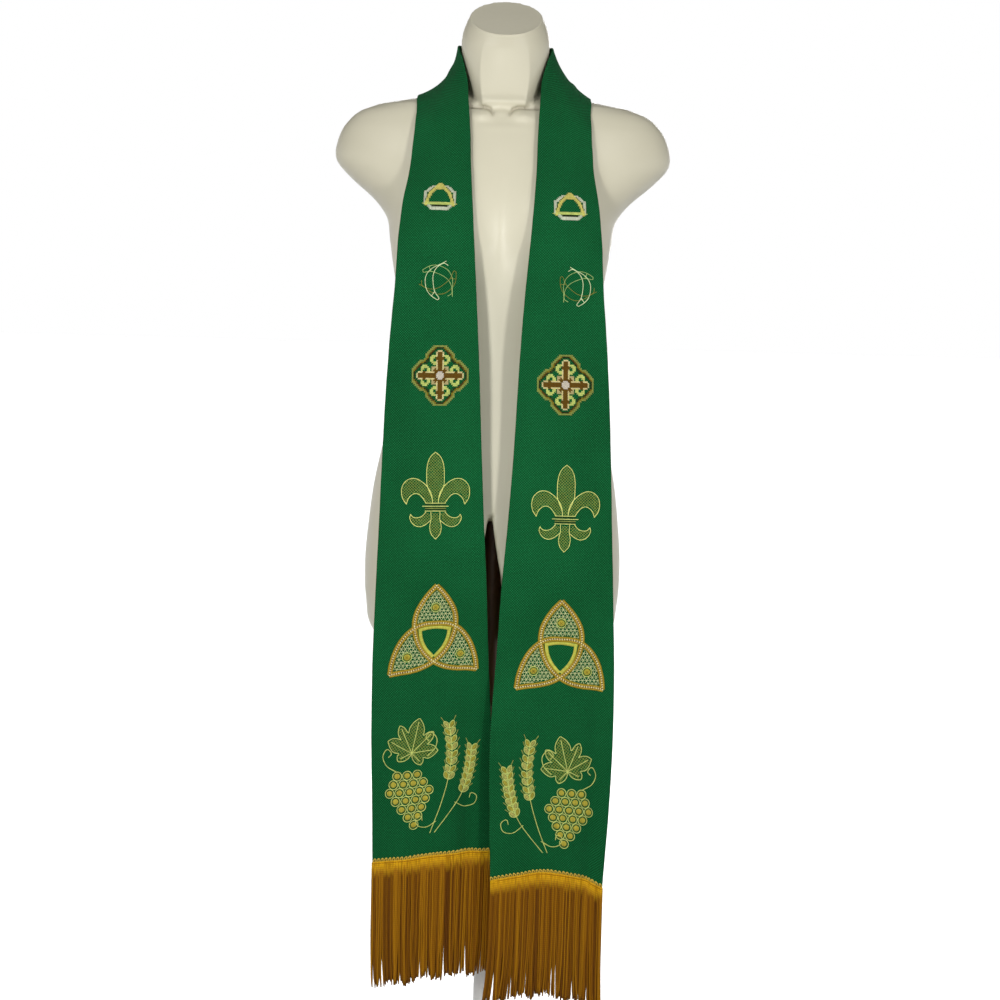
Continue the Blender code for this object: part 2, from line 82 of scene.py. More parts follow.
# Drape of one front, from the back of the neck to below the hem: inner edge, outer edge, and how
# far the middle of the section stands out from the line between them.
Section = namedtuple("Section", "inner_x inner_y inner_z outer_x outer_y outer_z bow")
DRAPE = rows_of(
    Section,
    (0.0000, 0.0580, 1.3010, 0.0000, 0.0660, 1.2220, 0.000),
    (0.0330, 0.0490, 1.3020, 0.0480, 0.0640, 1.2240, -0.001),
    (0.0540, 0.0260, 1.3030, 0.0860, 0.0460, 1.2310, -0.006),
    (0.0595, 0.0000, 1.2990, 0.1070, 0.0120, 1.2385, -0.012),
    (0.0535, -0.0230, 1.2820, 0.1090, -0.0180, 1.2320, -0.010),
    (0.0465, -0.0400, 1.2560, 0.1080, -0.0400, 1.2180, -0.003),
    (0.0440, -0.0590, 1.2250, 0.1090, -0.0600, 1.1960, 0.002),
    (0.0415, -0.0760, 1.1880, 0.1105, -0.0740, 1.1700, 0.004),
    (0.0400, -0.0940, 1.1440, 0.1130, -0.0880, 1.1380, 0.005),
    (0.0375, -0.1100, 1.1040, 0.1190, -0.1030, 1.1040, 0.006),
    (0.0345, -0.1210, 1.0600, 0.1235, -0.1130, 1.0600, 0.007),
    (0.0300, -0.1270, 1.0000, 0.1270, -0.1180, 1.0000, 0.007),
    (0.0245, -0.1300, 0.9100, 0.1340, -0.1220, 0.9100, 0.006),
    (0.0200, -0.1310, 0.8100, 0.1392, -0.1250, 0.8100, 0.005),
    (0.0150, -0.1310, 0.7200, 0.1425, -0.1270, 0.7200, 0.004),
    (0.0090, -0.1310, 0.6300, 0.1460, -0.1280, 0.6300, 0.003),
    (0.0055, -0.1310, 0.5400, 0.1490, -0.1290, 0.5400, 0.003),
    (0.0020, -0.1310, 0.4500, 0.1495, -0.1300, 0.4500, 0.003),
    (0.0010, -0.1310, 0.3500, 0.1475, -0.1300, 0.3500, 0.003),
    (0.0015, -0.1310, 0.2300, 0.1435, -0.1300, 0.2300, 0.003),
)

# How each front departs from that drape: shift of its edges, sideways and back, at a height.
Hang = namedtuple("Hang", "height inner_out outer_out inner_back outer_back")
LEFT_HANG = rows_of(
    Hang,
    (1.2500, 0.0000, 0.0000, 0.0000, 0.0000),
    (1.1000, 0.0025, -0.0005, 0.0000, 0.0000),
    (0.9800, 0.0023, 0.0003, 0.0000, 0.0000),
    (0.7900, 0.0035, 0.0023, 0.0000, 0.0000),
    (0.5900, 0.0030, 0.0042, -0.0040, 0.0000),
    (0.4400, 0.0014, 0.0057, -0.0090, 0.0000),
    (0.3400, 0.0040, 0.0051, -0.0110, 0.0010),
    (0.2900, 0.0059, 0.0040, -0.0110, 0.0020),
    (0.2000, 0.0070, 0.0035, -0.0110, 0.0030),
)
RIGHT_HANG = rows_of(
    Hang,
    (1.2500, 0.0000, 0.0000, 0.0000, 0.0000),
    (1.1000, -0.0025, 0.0005, 0.0000, 0.0000),
    (0.9800, -0.0022, -0.0002, 0.0000, 0.0000),
    (0.7900, -0.0035, -0.0023, 0.0000, 0.0000),
    (0.5900, -0.0036, -0.0043, 0.0090, 0.0000),
    (0.4400, -0.0066, -0.0056, 0.0200, 0.0000),
    (0.3400, -0.0088, -0.0065, 0.0260, 0.0000),
    (0.2900, -0.0106, -0.0060, 0.0270, 0.0000),
    (0.2000, -0.0116, -0.0055, 0.0270, 0.0000),
)

# Soft vertical folds: place across the front (0 inner edge, 1 outer), half width, depth (back is
# positive), and the heights where each is full and where it has died out.
Fold = namedtuple("Fold", "across half_width depth full_at gone_at")
LEFT_FOLDS = rows_of(
    Fold,
    (0.86, 0.070, 0.0050, 0.30, 0.62),
    (0.40, 0.200, 0.0030, 0.34, 0.80),
    (0.62, 0.120, -0.0030, 0.40, 0.95),
)
RIGHT_FOLDS = rows_of(
    Fold,
    (0.20, 0.080, 0.0060, 0.30, 0.66),
    (0.52, 0.130, 0.0030, 0.36, 0.78),
    (0.74, 0.120, -0.0025, 0.42, 0.95),
)

# How far the hem hangs below its level line, across each front.
Drop = namedtuple("Drop", "across lower")
LEFT_HEM = rows_of(
    Drop,
    (0.00, 0.0116),
    (0.22, 0.0065),
    (0.52, 0.0020),
    (0.80, 0.0095),
    (1.00, 0.0220),
)
RIGHT_HEM = rows_of(
    Drop,
    (0.00, -0.0038),
    (0.20, -0.0042),
    (0.52, -0.0008),
    (0.80, 0.0040),
    (1.00, 0.0080),
)

# Light creases and dents in the cloth: place along and across, half length, half width, turn from
# the grain in degrees, and depth (a trough is negative).
Crease = namedtuple("Crease", "along across half_length half_width turn depth")
LEFT_CREASES = rows_of(
    Crease,
    (0.060, 0.45, 0.050, 0.0060, 10, -0.0012),
    (0.120, 0.62, 0.040, 0.0050, -14, 0.0012),
    (0.175, 0.30, 0.045, 0.0070, 18, -0.0013),
    (0.235, 0.70, 0.050, 0.0060, -10, 0.0009),
    (0.330, 0.22, 0.060, 0.0080, 6, -0.0007),
    (0.545, 0.82, 0.090, 0.0080, -4, -0.0008),
    (0.700, 0.16, 0.080, 0.0090, 5, 0.0008),
    (0.905, 0.88, 0.070, 0.0080, -6, -0.0010),
    (1.075, 0.60, 0.060, 0.0050, 3, -0.0012),
    (1.095, 0.30, 0.045, 0.0080, -8, 0.0009),
)
RIGHT_CREASES = rows_of(
    Crease,
    (0.055, 0.60, 0.045, 0.0060, -12, -0.0011),
    (0.130, 0.40, 0.045, 0.0060, 12, 0.0012),
    (0.190, 0.72, 0.040, 0.0060, -16, -0.0012),
    (0.260, 0.28, 0.055, 0.0070, 8, 0.0010),
    (0.385, 0.75, 0.070, 0.0080, -5, -0.0008),
    (0.590, 0.15, 0.080, 0.0090, 6, 0.0008),
    (0.780, 0.86, 0.090, 0.0080, 3, -0.0009),
    (0.960, 0.42, 0.060, 0.0070, -5, -0.0008),
    (1.080, 0.22, 0.050, 0.0060, 5, -0.0012),
    (1.100, 0.74, 0.040, 0.0070, -7, 0.0008),
)

# collar: how much further the cloth stands out at the side of the neck. inner_lean and outer_lean:
# how far the strand tips at the two ends of the fringe swing outwards.
Front = namedtuple("Front", "name side hang folds hem creases collar inner_lean outer_lean seed")
FRONTS = rows_of(
    Front,
    ("left", 1, LEFT_HANG, LEFT_FOLDS, LEFT_HEM, LEFT_CREASES, 0.0060, -0.0060, 0.0010, 11),
    ("right", -1, RIGHT_HANG, RIGHT_FOLDS, RIGHT_HEM, RIGHT_CREASES, 0.0, 0.0020, -0.0030, 23),
)

# ---- sizes of the fringe

STRANDS_IN_FRONT = 82
STRANDS_BEHIND = 76
STRAND_LENGTH = 0.1600  # from the header's top edge
STRAND_RAGGED = 0.0035
STRAND_THICK = 0.0022
STRAND_THICKNESS = (0.88, 1.10)  # strands vary as much as this
BEHIND_THICKER = 0.30
TIP_SIZE = 0.7
STRAND_SIDES = 6
STRAND_RINGS = 17
RINGS_CROWD = 0.8  # under 1, the rings lie closer together towards the tip
WITHIN_EDGES = (0.004, 0.996)  # places across the cloth where something may be sewn on
ROOT_DEPTH = 0.0020  # below the top of the header
ROOT_SCATTER = 0.0016  # as a share of the width
HEAD_LOSS = 0.0040  # length that a strand loses as its head bends over the header
FALLS_STRAIGHT = 0.020  # this far along, a strand leaves the cloth's slope and hangs down
HEAD_BULGE = 0.0030  # how far the heads of the front row swell out
BEHIND_BULGE_LESS = 0.0021
BULGE_REACH = 0.0040
ROWS_APART = 0.0016
ROOTS_PROUD = 0.0010
SETTLES_AFTER = 0.012  # along a strand, where its bulge starts to sink back
SETTLE_REACH = 0.035
STAYS_OUT = 0.55  # share of the bulge that stays, and the share that sinks back
SINKS_BACK = 0.45
OWN_LEAN = 0.0007  # how far single strands swing aside, by chance
LEAN_GROWTH = 3.5  # a strand swings mostly near its tip
WIGGLE = 0.00045
WIGGLE_BENDS = (6, 13)  # radians along a strand
WIGGLE_START = (0, 6)
DEPTH_SCATTER = 0.0006
# Waves across the fringe: height, radians across it, and the shift as a multiple of the seed.
LENGTH_WAVES = ((0.0022, 23, 1), (0.0014, 61, 2))
CLUMP_WAVES = ((0.0016, 37, 1), (0.0016, 83, 3))
DEPTH_WAVES = ((0.0008, 30, 1),)

LOOP_PITCH = 0.0050
LOOP_THICK = 0.0015
LOOP_RINGS = 9
LOOP_HALF_WIDTH = 0.0015
LOOP_SLANT = 0.0016
LOOP_HEIGHT = 0.0036
LOOP_SUNK = 0.0014  # below the header's edge, where a loop's two feet are
LOOP_PROUD = 0.0006  # a loop's feet above the cloth, and how much further its top stands out
LOOP_ARCH = 0.0012
LOOP_SCATTER = 0.00012
LOOP_TONE = 2.0

# The cords of the header's binding: depth below its edge, middle above the cloth, and tone.
Cord = namedtuple("Cord", "below proud tone")
CORDS = (Cord(0.0018, 0.0012, 1.4), Cord(0.0034, 0.0022, 1.0), Cord(0.0110, 0.0024, 0.6))
CORD_RADIUS = 0.00085
CORD_POINTS = 90

# ---- sizes of the form and the stand

FORM_SIDES = 128
FORM_RING_STEP = 0.0080
NECK_RING_STEP = 0.0040
FORM_VOXEL = 0.0042
FAIRING_ROUNDS = 4  # smoothing of the whole form, and then of its crisp edges
EDGE_ROUNDS = 5
SOCKET_SIDES = 48
SOCKET_EASE = 0.0012  # room round the pole and its sleeve
SOCKET_DROP = 0.0450  # how far below the form the cutter for a socket starts
BUST_HEIGHT = 1.0650
BUST_APART = 0.0740
BUST_RISE = 0.0290
BUST_HALF_WIDTH = 0.0440
BUST_FADE_UP = 0.0600
BUST_FADE_DOWN = 0.0400
BUST_FADE_ROUND = 0.5  # power of the turn away from the front

Ring = namedtuple("Ring", "height half_width front back square")
FORM_RINGS = rows_of(
    Ring,
    (0.5450, 0.1360, -0.066, 0.074, 2.5),
    (0.5485, 0.1460, -0.074, 0.082, 2.5),
    (0.5600, 0.1545, -0.081, 0.090, 2.5),
    (0.5950, 0.1620, -0.087, 0.098, 2.4),
    (0.6450, 0.1645, -0.091, 0.106, 2.3),
    (0.7000, 0.1605, -0.092, 0.107, 2.2),
    (0.7500, 0.1540, -0.091, 0.098, 2.2),
    (0.8100, 0.1410, -0.088, 0.084, 2.2),
    (0.8700, 0.1275, -0.083, 0.075, 2.2),
    (0.9200, 0.1220, -0.080, 0.073, 2.2),
    (0.9700, 0.1260, -0.083, 0.078, 2.2),
    (1.0200, 0.1350, -0.089, 0.087, 2.2),
    (1.0600, 0.1410, -0.093, 0.094, 2.2),
    (1.0820, 0.1440, -0.094, 0.097, 2.2),
    (1.1060, 0.1610, -0.092, 0.098, 2.1),
    (1.1310, 0.1900, -0.087, 0.097, 2.0),
    (1.1550, 0.2110, -0.080, 0.093, 2.0),
    (1.1800, 0.2095, -0.071, 0.086, 2.0),
    (1.2060, 0.1950, -0.059, 0.075, 2.0),
    (1.2180, 0.1800, -0.051, 0.067, 2.0),
    (1.2260, 0.1580, -0.044, 0.060, 2.0),
    (1.2320, 0.1260, -0.036, 0.054, 2.0),
    (1.2370, 0.0970, -0.028, 0.048, 2.0),
    (1.2420, 0.0740, -0.020, 0.042, 2.0),
    (1.2470, 0.0560, -0.012, 0.036, 2.0),
    (1.2500, 0.0400, -0.005, 0.030, 2.0),
)
NeckRing = namedtuple("NeckRing", "height half_width half_depth tilt square")
NECK_RINGS = rows_of(
    NeckRing,
    (1.1900, 0.0360, 0.0480, 0, 3.2),
    (1.2310, 0.0395, 0.0520, 0, 3.2),
    (1.2500, 0.0450, 0.0515, 4, 2.8),
    (1.2700, 0.0505, 0.0520, 10, 2.4),
    (1.2900, 0.0545, 0.0540, 17, 2.1),
    (1.3080, 0.0555, 0.0568, 23, 2.0),
    (1.3220, 0.0522, 0.0585, 27, 2.0),
    (1.3310, 0.0480, 0.0580, 29, 2.0),
    (1.3360, 0.0450, 0.0560, 29, 2.0),
)
# A soft upright arris on each side of the neck's front.
ARRIS_TURN = 31  # degrees from straight ahead
ARRIS_SPREAD = 11  # degrees
ARRIS_RISE = 0.050  # share of the neck's radius
ARRIS_FULL_AT = 1.2850
ARRIS_GONE_AT = 1.3300
NotchRing = namedtuple("NotchRing", "height half_width flare")
NOTCH_RINGS = rows_of(
    NotchRing,
    (0.7190, 0.0024, 0.000),
    (0.6950, 0.0042, 0.001),
    (0.6600, 0.0096, 0.002),
    (0.6350, 0.0143, 0.003),
    (0.6100, 0.0175, 0.005),
    (0.5800, 0.0190, 0.009),
    (0.5300, 0.0205, 0.014),
)
NOTCH_MIDDLE = -0.0040
NOTCH_REACH = 0.1600  # half its depth from front to back
NOTCH_FLARE_AT = 0.0900  # where its sides have opened by the ring's whole flare
NOTCH_STEPS = 24

# Hollows and ridges of the moulding: middle, half sizes along X, Y and Z, and how far the surface
# goes in along Y (a ridge is negative).
Dent = namedtuple("Dent", "x y z half_x half_y half_z depth")
FORM_DENTS = rows_of(
    Dent,
    (-0.0270, -0.058, 1.2110, 0.0125, 0.030, 0.0076, -0.0058),
    (0.0230, -0.058, 1.2110, 0.0125, 0.030, 0.0076, -0.0058),
    (-0.0030, -0.056, 1.2150, 0.0070, 0.030, 0.0060, -0.0020),
    (0.0, -0.070, 1.1950, 0.0360, 0.030, 0.0040, -0.0008),
    (0.0, -0.095, 1.0700, 0.0220, 0.060, 0.0600, 0.0030),
)
# A straight ledge across the foot of the neck.
LEDGE_HEIGHT = 1.2285
LEDGE_HALF_WIDTH = 0.0420
LEDGE_HALF_HEIGHT = 0.0055
LEDGE_PROUD = 0.0030
RIM_HALF_WIDTH = 0.0017  # a slight bead round the rim of the neck's flat top
RIM_PROUD = 0.0008
RIM_BAND = 0.0100  # the bead is sought down to this far below the rim
# The two hollows above the collarbones, outer end first: X, Z.
COLLARBONES = (
    ((-0.0480, 1.2212), (-0.0240, 1.2206), (-0.0175, 1.2182), (-0.0138, 1.2135), (-0.0130, 1.2080)),
    ((0.0480, 1.2212), (0.0175, 1.2206), (0.0115, 1.2182), (0.0078, 1.2135), (0.0070, 1.2080)),
)
COLLARBONE_HALF_WIDTH = 0.0019
COLLARBONE_DEPTH = 0.0036
COLLARBONE_FADE = 0.0100  # length of the shallow lower end
GROOVE_SHADE_SPREAD = 1.5  # painted shade spreads this much wider than the hollow
# The part of the form's front that the ledge and the collarbones are pressed into.
PRESSED_HALF_WIDTH = 0.0600
PRESSED_MIDDLE = 1.2220
PRESSED_HALF_HEIGHT = 0.0300
# Faces are made finer near the neck's rim and in a box round the ledge and the collarbones.
FINE_EDGE = 0.0110  # distance from the rim
FINE_FADE = 0.0040
FINE_HALF_WIDTH = 0.0580
FINE_BACK = -0.0040
FINE_LOW = 1.1980
FINE_HIGH = 1.3200
FINE_ROUNDS = 2
RIM_STEPS = 6  # points between two corners of the rim's outline

BASE_RADIUS = 0.1550
BASE_EDGE = 0.0060
BASE_CROWN = 0.0110
HUB_RADIUS = 0.0260
HUB_TOP = 0.0300
POLE_RADIUS = 0.0110
POLE_FOOT = 0.0120
POLE_TOP = 0.7900
POLE_JOINT = 0.2600  # the dark upper tube ends here, hidden behind the fringe; its dark brown coat stands in as painted shade in the gap between the fronts
SLEEVE_RADIUS = 0.0165  # a dark sleeve that the form is set down on; like the upper tube, its dark brown stands in as painted shade in the gap between the fronts
SLEEVE_FOOT = 0.4600
SLEEVE_TOP = 0.7160
CLEARANCE = 0.0003
ROUND_STEPS = 96
CORNER = 0.0022  # rounding of the base's outer corners
TUBE_WALL = 0.0016
TUBE_CORNER = 0.0008
TUBE_STEP = 0.0004  # the lower tube is this much thinner
SLEEVE_CORNER = 0.0010
SHARP_ANGLE = 35  # degrees between faces that don't shade into each other


# ---- meshes


def add_object(name, data):
    item = bpy.data.objects.new(name, data)
    bpy.context.scene.collection.objects.link(item)
    return item


def link_mesh(name, points, faces, material):
    """A new smooth object from arrays; faces are rows of corner numbers, all of one length."""
    faces = np.asarray(faces, dtype=np.int32)
    mesh = bpy.data.meshes.new(name)
    mesh.vertices.add(len(points))
    mesh.vertices.foreach_set("co", np.asarray(points, dtype=np.float32).ravel())
    corners = faces.shape[1]
    mesh.loops.add(faces.size)
    mesh.loops.foreach_set("vertex_index", faces.ravel())
    mesh.polygons.add(len(faces))
    mesh.polygons.foreach_set("loop_start", np.arange(0, faces.size, corners, dtype=np.int32))
    mesh.polygons.foreach_set("loop_total", np.full(len(faces), corners, dtype=np.int32))
    mesh.polygons.foreach_set("use_smooth", np.full(len(faces), True))
    mesh.materials.append(material)
    mesh.update(calc_edges=True)
    mesh.validate()
    return add_object(name, mesh)


def write_uv(mesh, per_point):
    """A UV map whose values are given for each point."""
    layer = mesh.uv_layers.new(name="UVMap")
    corner_points = np.empty(len(mesh.loops), dtype=np.int32)
    mesh.loops.foreach_get("vertex_index", corner_points)
    layer.data.foreach_set("uv", np.asarray(per_point, dtype=np.float32)[corner_points].ravel())


def write_colours(mesh, name, per_point):
    layer = mesh.color_attributes.new(name=name, type="FLOAT_COLOR", domain="POINT")
    layer.data.foreach_set("color", np.asarray(per_point, dtype=np.float32).ravel())


def write_values(mesh, name, per_point):
    layer = mesh.attributes.new(name=name, type="FLOAT", domain="POINT")
    layer.data.foreach_set("value", np.asarray(per_point, dtype=np.float32).ravel())


def mesh_array(source, name):
    """One vector of each point or face, as rows."""
    values = np.empty(len(source) * 3, dtype=np.float32)
    source.foreach_get(name, values)
    return values.reshape(-1, 3)


def deselect_all():
    if bpy.context.object is not None and bpy.context.object.mode != "OBJECT":
        bpy.ops.object.mode_set(mode="OBJECT")
    bpy.ops.object.select_all(action="DESELECT")


def make_active(item):
    deselect_all()
    item.select_set(True)
    bpy.context.view_layer.objects.active = item


def edit_all():
    """Edit mode with everything selected."""
    bpy.ops.object.mode_set(mode="EDIT")
    bpy.ops.mesh.select_all(action="SELECT")


def leave_edit():
    bpy.ops.object.mode_set(mode="OBJECT")


def apply_modifier(item, kind, **settings):
    make_active(item)
    modifier = item.modifiers.new(kind.lower(), kind)
    for key, value in settings.items():
        setattr(modifier, key, value)
    bpy.ops.object.modifier_apply(modifier=modifier.name)


def start_circle(name, places, fill_type):
    """A circle whose points are set to the places."""
    deselect_all()
    bpy.ops.mesh.primitive_circle_add(vertices=len(places), fill_type=fill_type)
    item = bpy.context.object
    item.name = name
    for vertex, place in zip(item.data.vertices, places):
        vertex.co = place
    return item


def smooth_rows(stations, rows, at):
    """The rows read at any stations, on smooth curves through them."""
    stations = np.asarray(stations, dtype=float)
    rows = np.asarray(rows, dtype=float)
    at = np.atleast_1d(np.asarray(at, dtype=float))
    slope = np.gradient(rows, stations, axis=0)
    index = np.clip(np.searchsorted(stations, at, side="right") - 1, 0, len(stations) - 2)
    span = (stations[index + 1] - stations[index])[:, None]
    part = (at - stations[index])[:, None] / span
    square, cube = part ** 2, part ** 3
    return (
        (2 * cube - 3 * square + 1) * rows[index]
        + (cube - 2 * square + part) * span * slope[index]
        + (3 * square - 2 * cube) * rows[index + 1]
        + (cube - square) * span * slope[index + 1]
    )


def unit(vectors):
    """The same directions, each one long."""
    return vectors / np.linalg.norm(vectors, axis=-1, keepdims=True)


def run_along(points):
    """How far along its line each point lies."""
    return np.concatenate([[0.0], np.cumsum(np.linalg.norm(np.diff(points, axis=0), axis=1))])


def heights_between(heights, most_apart):
    """The heights, and as many more between them as keep their neighbours near enough."""
    filled = []
    for low, high in zip(heights, heights[1:]):
        steps = max(1, round((high - low) / most_apart))
        filled += [low + (high - low) * step / steps for step in range(steps)]
    return filled + [heights[-1]]


# ---- the dress form


def raise_outlines(name, outlines):
    """A closed body drawn upwards, ring by ring: a filled circle is extruded and set to each outline."""
    item = start_circle(name, outlines[0], "NGON")
    edit_all()
    for _ in outlines[1:]:
        bpy.ops.mesh.extrude_region_move(TRANSFORM_OT_translate={"value": (0, 0, FORM_RING_STEP)})
    leave_edit()
    item.data.vertices.foreach_set("co", np.array(outlines, dtype=np.float32).ravel())
    edit_all()
    bpy.ops.mesh.normals_make_consistent(inside=False)
    leave_edit()
    return item


def squared_circle(square):
    """Turn, x and y of each point of a round outline; past 2, it is the squarer."""
    for step in range(FORM_SIDES):
        turn = FULL_TURN * step / FORM_SIDES
        across, along = math.cos(turn), math.sin(turn)
        x = math.copysign(abs(across) ** (2 / square), across)
        y = math.copysign(abs(along) ** (2 / square), along)
        yield turn, x, y


def form_ring(ring):
    """One level ring of the form, with the bust raised on its front."""
    centre = (ring.front + ring.back) / 2
    half_depth = (ring.back - ring.front) / 2
    points = []
    for turn, unit_x, unit_y in squared_circle(ring.square):
        x, y = ring.half_width * unit_x, centre + half_depth * unit_y
        along = math.sin(turn)
        if along < 0:
            off_centre = (abs(x) - BUST_APART) / BUST_HALF_WIDTH
            above = ring.height - BUST_HEIGHT
            level = above / (BUST_FADE_UP if above > 0 else BUST_FADE_DOWN)
            y -= BUST_RISE * math.exp(-off_centre ** 2 - level ** 2) * abs(along) ** BUST_FADE_ROUND
        points.append((x, y, ring.height))
    return points


def form_outlines():
    heights = [ring.height for ring in FORM_RINGS]
    rows = smooth_rows(heights, FORM_RINGS, heights_between(heights, FORM_RING_STEP))
    return [form_ring(Ring(*row)) for row in rows]


def arris_swell(turn, height):
    """How much further out the neck is at an arris; the turn is in degrees from straight ahead."""
    strength = min(1.0, max(0.0, (ARRIS_GONE_AT - height) / (ARRIS_GONE_AT - ARRIS_FULL_AT)))
    return 1 + strength * ARRIS_RISE * math.exp(-abs(abs(turn) - ARRIS_TURN) / ARRIS_SPREAD)


def neck_outlines():
    """The neck's rings, tilted more and more until the flat top."""
    outlines = []
    heights = [ring.height for ring in NECK_RINGS]
    for row in smooth_rows(heights, NECK_RINGS, heights_between(heights, NECK_RING_STEP)):
        ring = NeckRing(*row)
        tilt = math.radians(ring.tilt)
        outline = []
        for turn, unit_x, unit_y in squared_circle(ring.square):
            swell = arris_swell((math.degrees(turn) + 270) % 360 - 180, ring.height)
            x, y = unit_x * ring.half_width * swell, unit_y * ring.half_depth * swell
            outline.append((x, y * math.cos(tilt), ring.height + y * math.sin(tilt)))
        outlines.append(outline)
    return outlines


def notch_outlines():
    """The gap between the thighs, which widens downwards and towards the front and back."""
    reaches = [NOTCH_REACH * (2 * step / NOTCH_STEPS - 1) for step in range(NOTCH_STEPS + 1)]
    outlines = []
    for ring in reversed(NOTCH_RINGS):
        widths = [ring.half_width + ring.flare * (abs(reach) / NOTCH_FLARE_AT) ** 3 for reach in reaches]
        sides = [
            [(NOTCH_MIDDLE + side * width, reach, ring.height) for reach, width in zip(reaches, widths)]
            for side in (1, -1)
        ]
        outlines.append(sides[0] + sides[1][::-1])
    return outlines


def mould_form(plastic):
    """Body and neck are joined, notched for the thighs, bored for the pole and faired over."""
    form = raise_outlines("form_moulding", form_outlines())
    neck = raise_outlines("neck", neck_outlines())
    notch = raise_outlines("notch", notch_outlines())
    apply_modifier(form, "BOOLEAN", operation="UNION", object=neck)
    apply_modifier(form, "BOOLEAN", operation="DIFFERENCE", object=notch)
    low = FORM_RINGS[0].height - SOCKET_DROP
    sockets = []
    for radius, high in ((SLEEVE_RADIUS, SLEEVE_TOP), (POLE_RADIUS, POLE_TOP)):
        deselect_all()
        bpy.ops.mesh.primitive_cylinder_add(
            vertices=SOCKET_SIDES, radius=radius + SOCKET_EASE, depth=high + CLEARANCE - low,
            location=(0, 0, (low + high + CLEARANCE) / 2)
        )
        sockets.append(bpy.context.object)
        apply_modifier(form, "BOOLEAN", operation="DIFFERENCE", object=sockets[-1])
    for tool in (neck, notch, *sockets):
        bpy.data.objects.remove(tool, do_unlink=True)
    crisp = BVHTree.FromObject(form, bpy.context.evaluated_depsgraph_get())
    form.data.remesh_voxel_size = FORM_VOXEL
    make_active(form)
    bpy.ops.object.voxel_remesh()
    apply_modifier(form, "SMOOTH", factor=0.5, iterations=FAIRING_ROUNDS)
    for _ in range(FINE_ROUNDS):
        refine_faces(form)
    sharpen_neck(form, crisp)
    emboss_form(form.data)
    make_active(form)
    bpy.ops.object.shade_smooth()
    form.data.materials.append(plastic)
    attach(form, "root")
    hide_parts("dress_form")
    return form


def distance_to_places(points, places):
    return np.min([np.linalg.norm(points - place, axis=1) for place in places], axis=0)


def near_details(points):
    """How far each point counts as part of the neck's rim or base: 1 well inside, 0 outside."""
    rim = np.array(neck_outlines()[-1])
    part = np.arange(RIM_STEPS)[:, None, None] / RIM_STEPS
    rim = (rim * (1 - part) + np.roll(rim, -1, axis=0) * part).reshape(-1, 3)
    x, y, z = points.T
    outside = np.max([abs(x) - FINE_HALF_WIDTH, y - FINE_BACK, FINE_LOW - z, z - FINE_HIGH], axis=0)
    nearest = np.minimum(distance_to_places(points, rim) - FINE_EDGE, outside)
    return np.clip(-nearest / FINE_FADE, 0, 1)


def refine_faces(form):
    """The faces round the neck's rim and base are divided once."""
    make_active(form)
    bpy.ops.object.mode_set(mode="EDIT")
    bpy.ops.mesh.select_mode(type="FACE")
    bpy.ops.mesh.select_all(action="DESELECT")
    leave_edit()
    chosen = near_details(mesh_array(form.data.polygons, "center")) > 0
    form.data.polygons.foreach_set("select", chosen)
    bpy.ops.object.mode_set(mode="EDIT")
    bpy.ops.mesh.subdivide(number_cuts=1, smoothness=0)
    leave_edit()


def sharpen_neck(form, crisp):
    """The fine faces are drawn back to the crisp form, and only its edges are eased."""
    mesh = form.data
    points = mesh_array(mesh.vertices, "co")
    share = near_details(points)
    for index in np.nonzero(share)[0]:
        nearest = crisp.find_nearest(Vector(points[index]))[0]
        points[index] += (np.array(nearest) - points[index]) * share[index]
    mesh.vertices.foreach_set("co", points.ravel())
    group = form.vertex_groups.new(name="fine")
    group.add(np.nonzero(share)[0].tolist(), 1.0, "REPLACE")
    apply_modifier(form, "SMOOTH", factor=0.5, iterations=EDGE_ROUNDS, vertex_group="fine")


def emboss_form(mesh):
    """The collarbones, ledge, bead and dents are pressed into the form; painted shade is noted in the
    collarbone hollows.
    """
    mesh.update()
    points = mesh_array(mesh.vertices, "co")
    normals = mesh_array(mesh.vertices, "normal")
    x, y, z = points.T
    pressed = (abs(x) < PRESSED_HALF_WIDTH) & (abs(z - PRESSED_MIDDLE) < PRESSED_HALF_HEIGHT)
    front = np.nonzero((y < 0) & pressed)[0]
    # Painted shade: how much each point's colour is darkened, where the collarbone hollows lie in shade.
    groove_shade = np.zeros(len(points))
    for line in COLLARBONES:
        line = np.array(line)
        off = distance_to_line(points[front][:, [0, 2]], line)
        fade = np.clip((points[front, 2] - line[-1, 1]) / COLLARBONE_FADE, 0, 1)
        depth = COLLARBONE_DEPTH * np.exp(-(off / COLLARBONE_HALF_WIDTH) ** 2) * fade
        points[front] -= normals[front] * depth[:, None]
        groove_shade[front] += fade * np.exp(-(off / (GROOVE_SHADE_SPREAD * COLLARBONE_HALF_WIDTH)) ** 2)
    level = (points[front, 2] - LEDGE_HEIGHT) / LEDGE_HALF_HEIGHT
    reach = points[front, 0] / LEDGE_HALF_WIDTH
    points[front, 1] -= LEDGE_PROUD * np.exp(-level ** 2 - reach ** 6)
    rim = np.array(neck_outlines()[-1])
    top = np.nonzero(points[:, 2] > rim[:, 2].min() - RIM_BAND)[0]
    off = distance_to_places(points[top], rim)
    points[top] += normals[top] * (RIM_PROUD * np.exp(-(off / RIM_HALF_WIDTH) ** 2))[:, None]
    for dent in FORM_DENTS:
        off = (points - (dent.x, dent.y, dent.z)) / (dent.half_x, dent.half_y, dent.half_z)
        points[:, 1] += dent.depth * np.exp(-(off ** 2).sum(axis=1))
    mesh.vertices.foreach_set("co", points.ravel())
    mesh.update()
    write_values(mesh, "groove_shade", groove_shade)


# ---- the stand


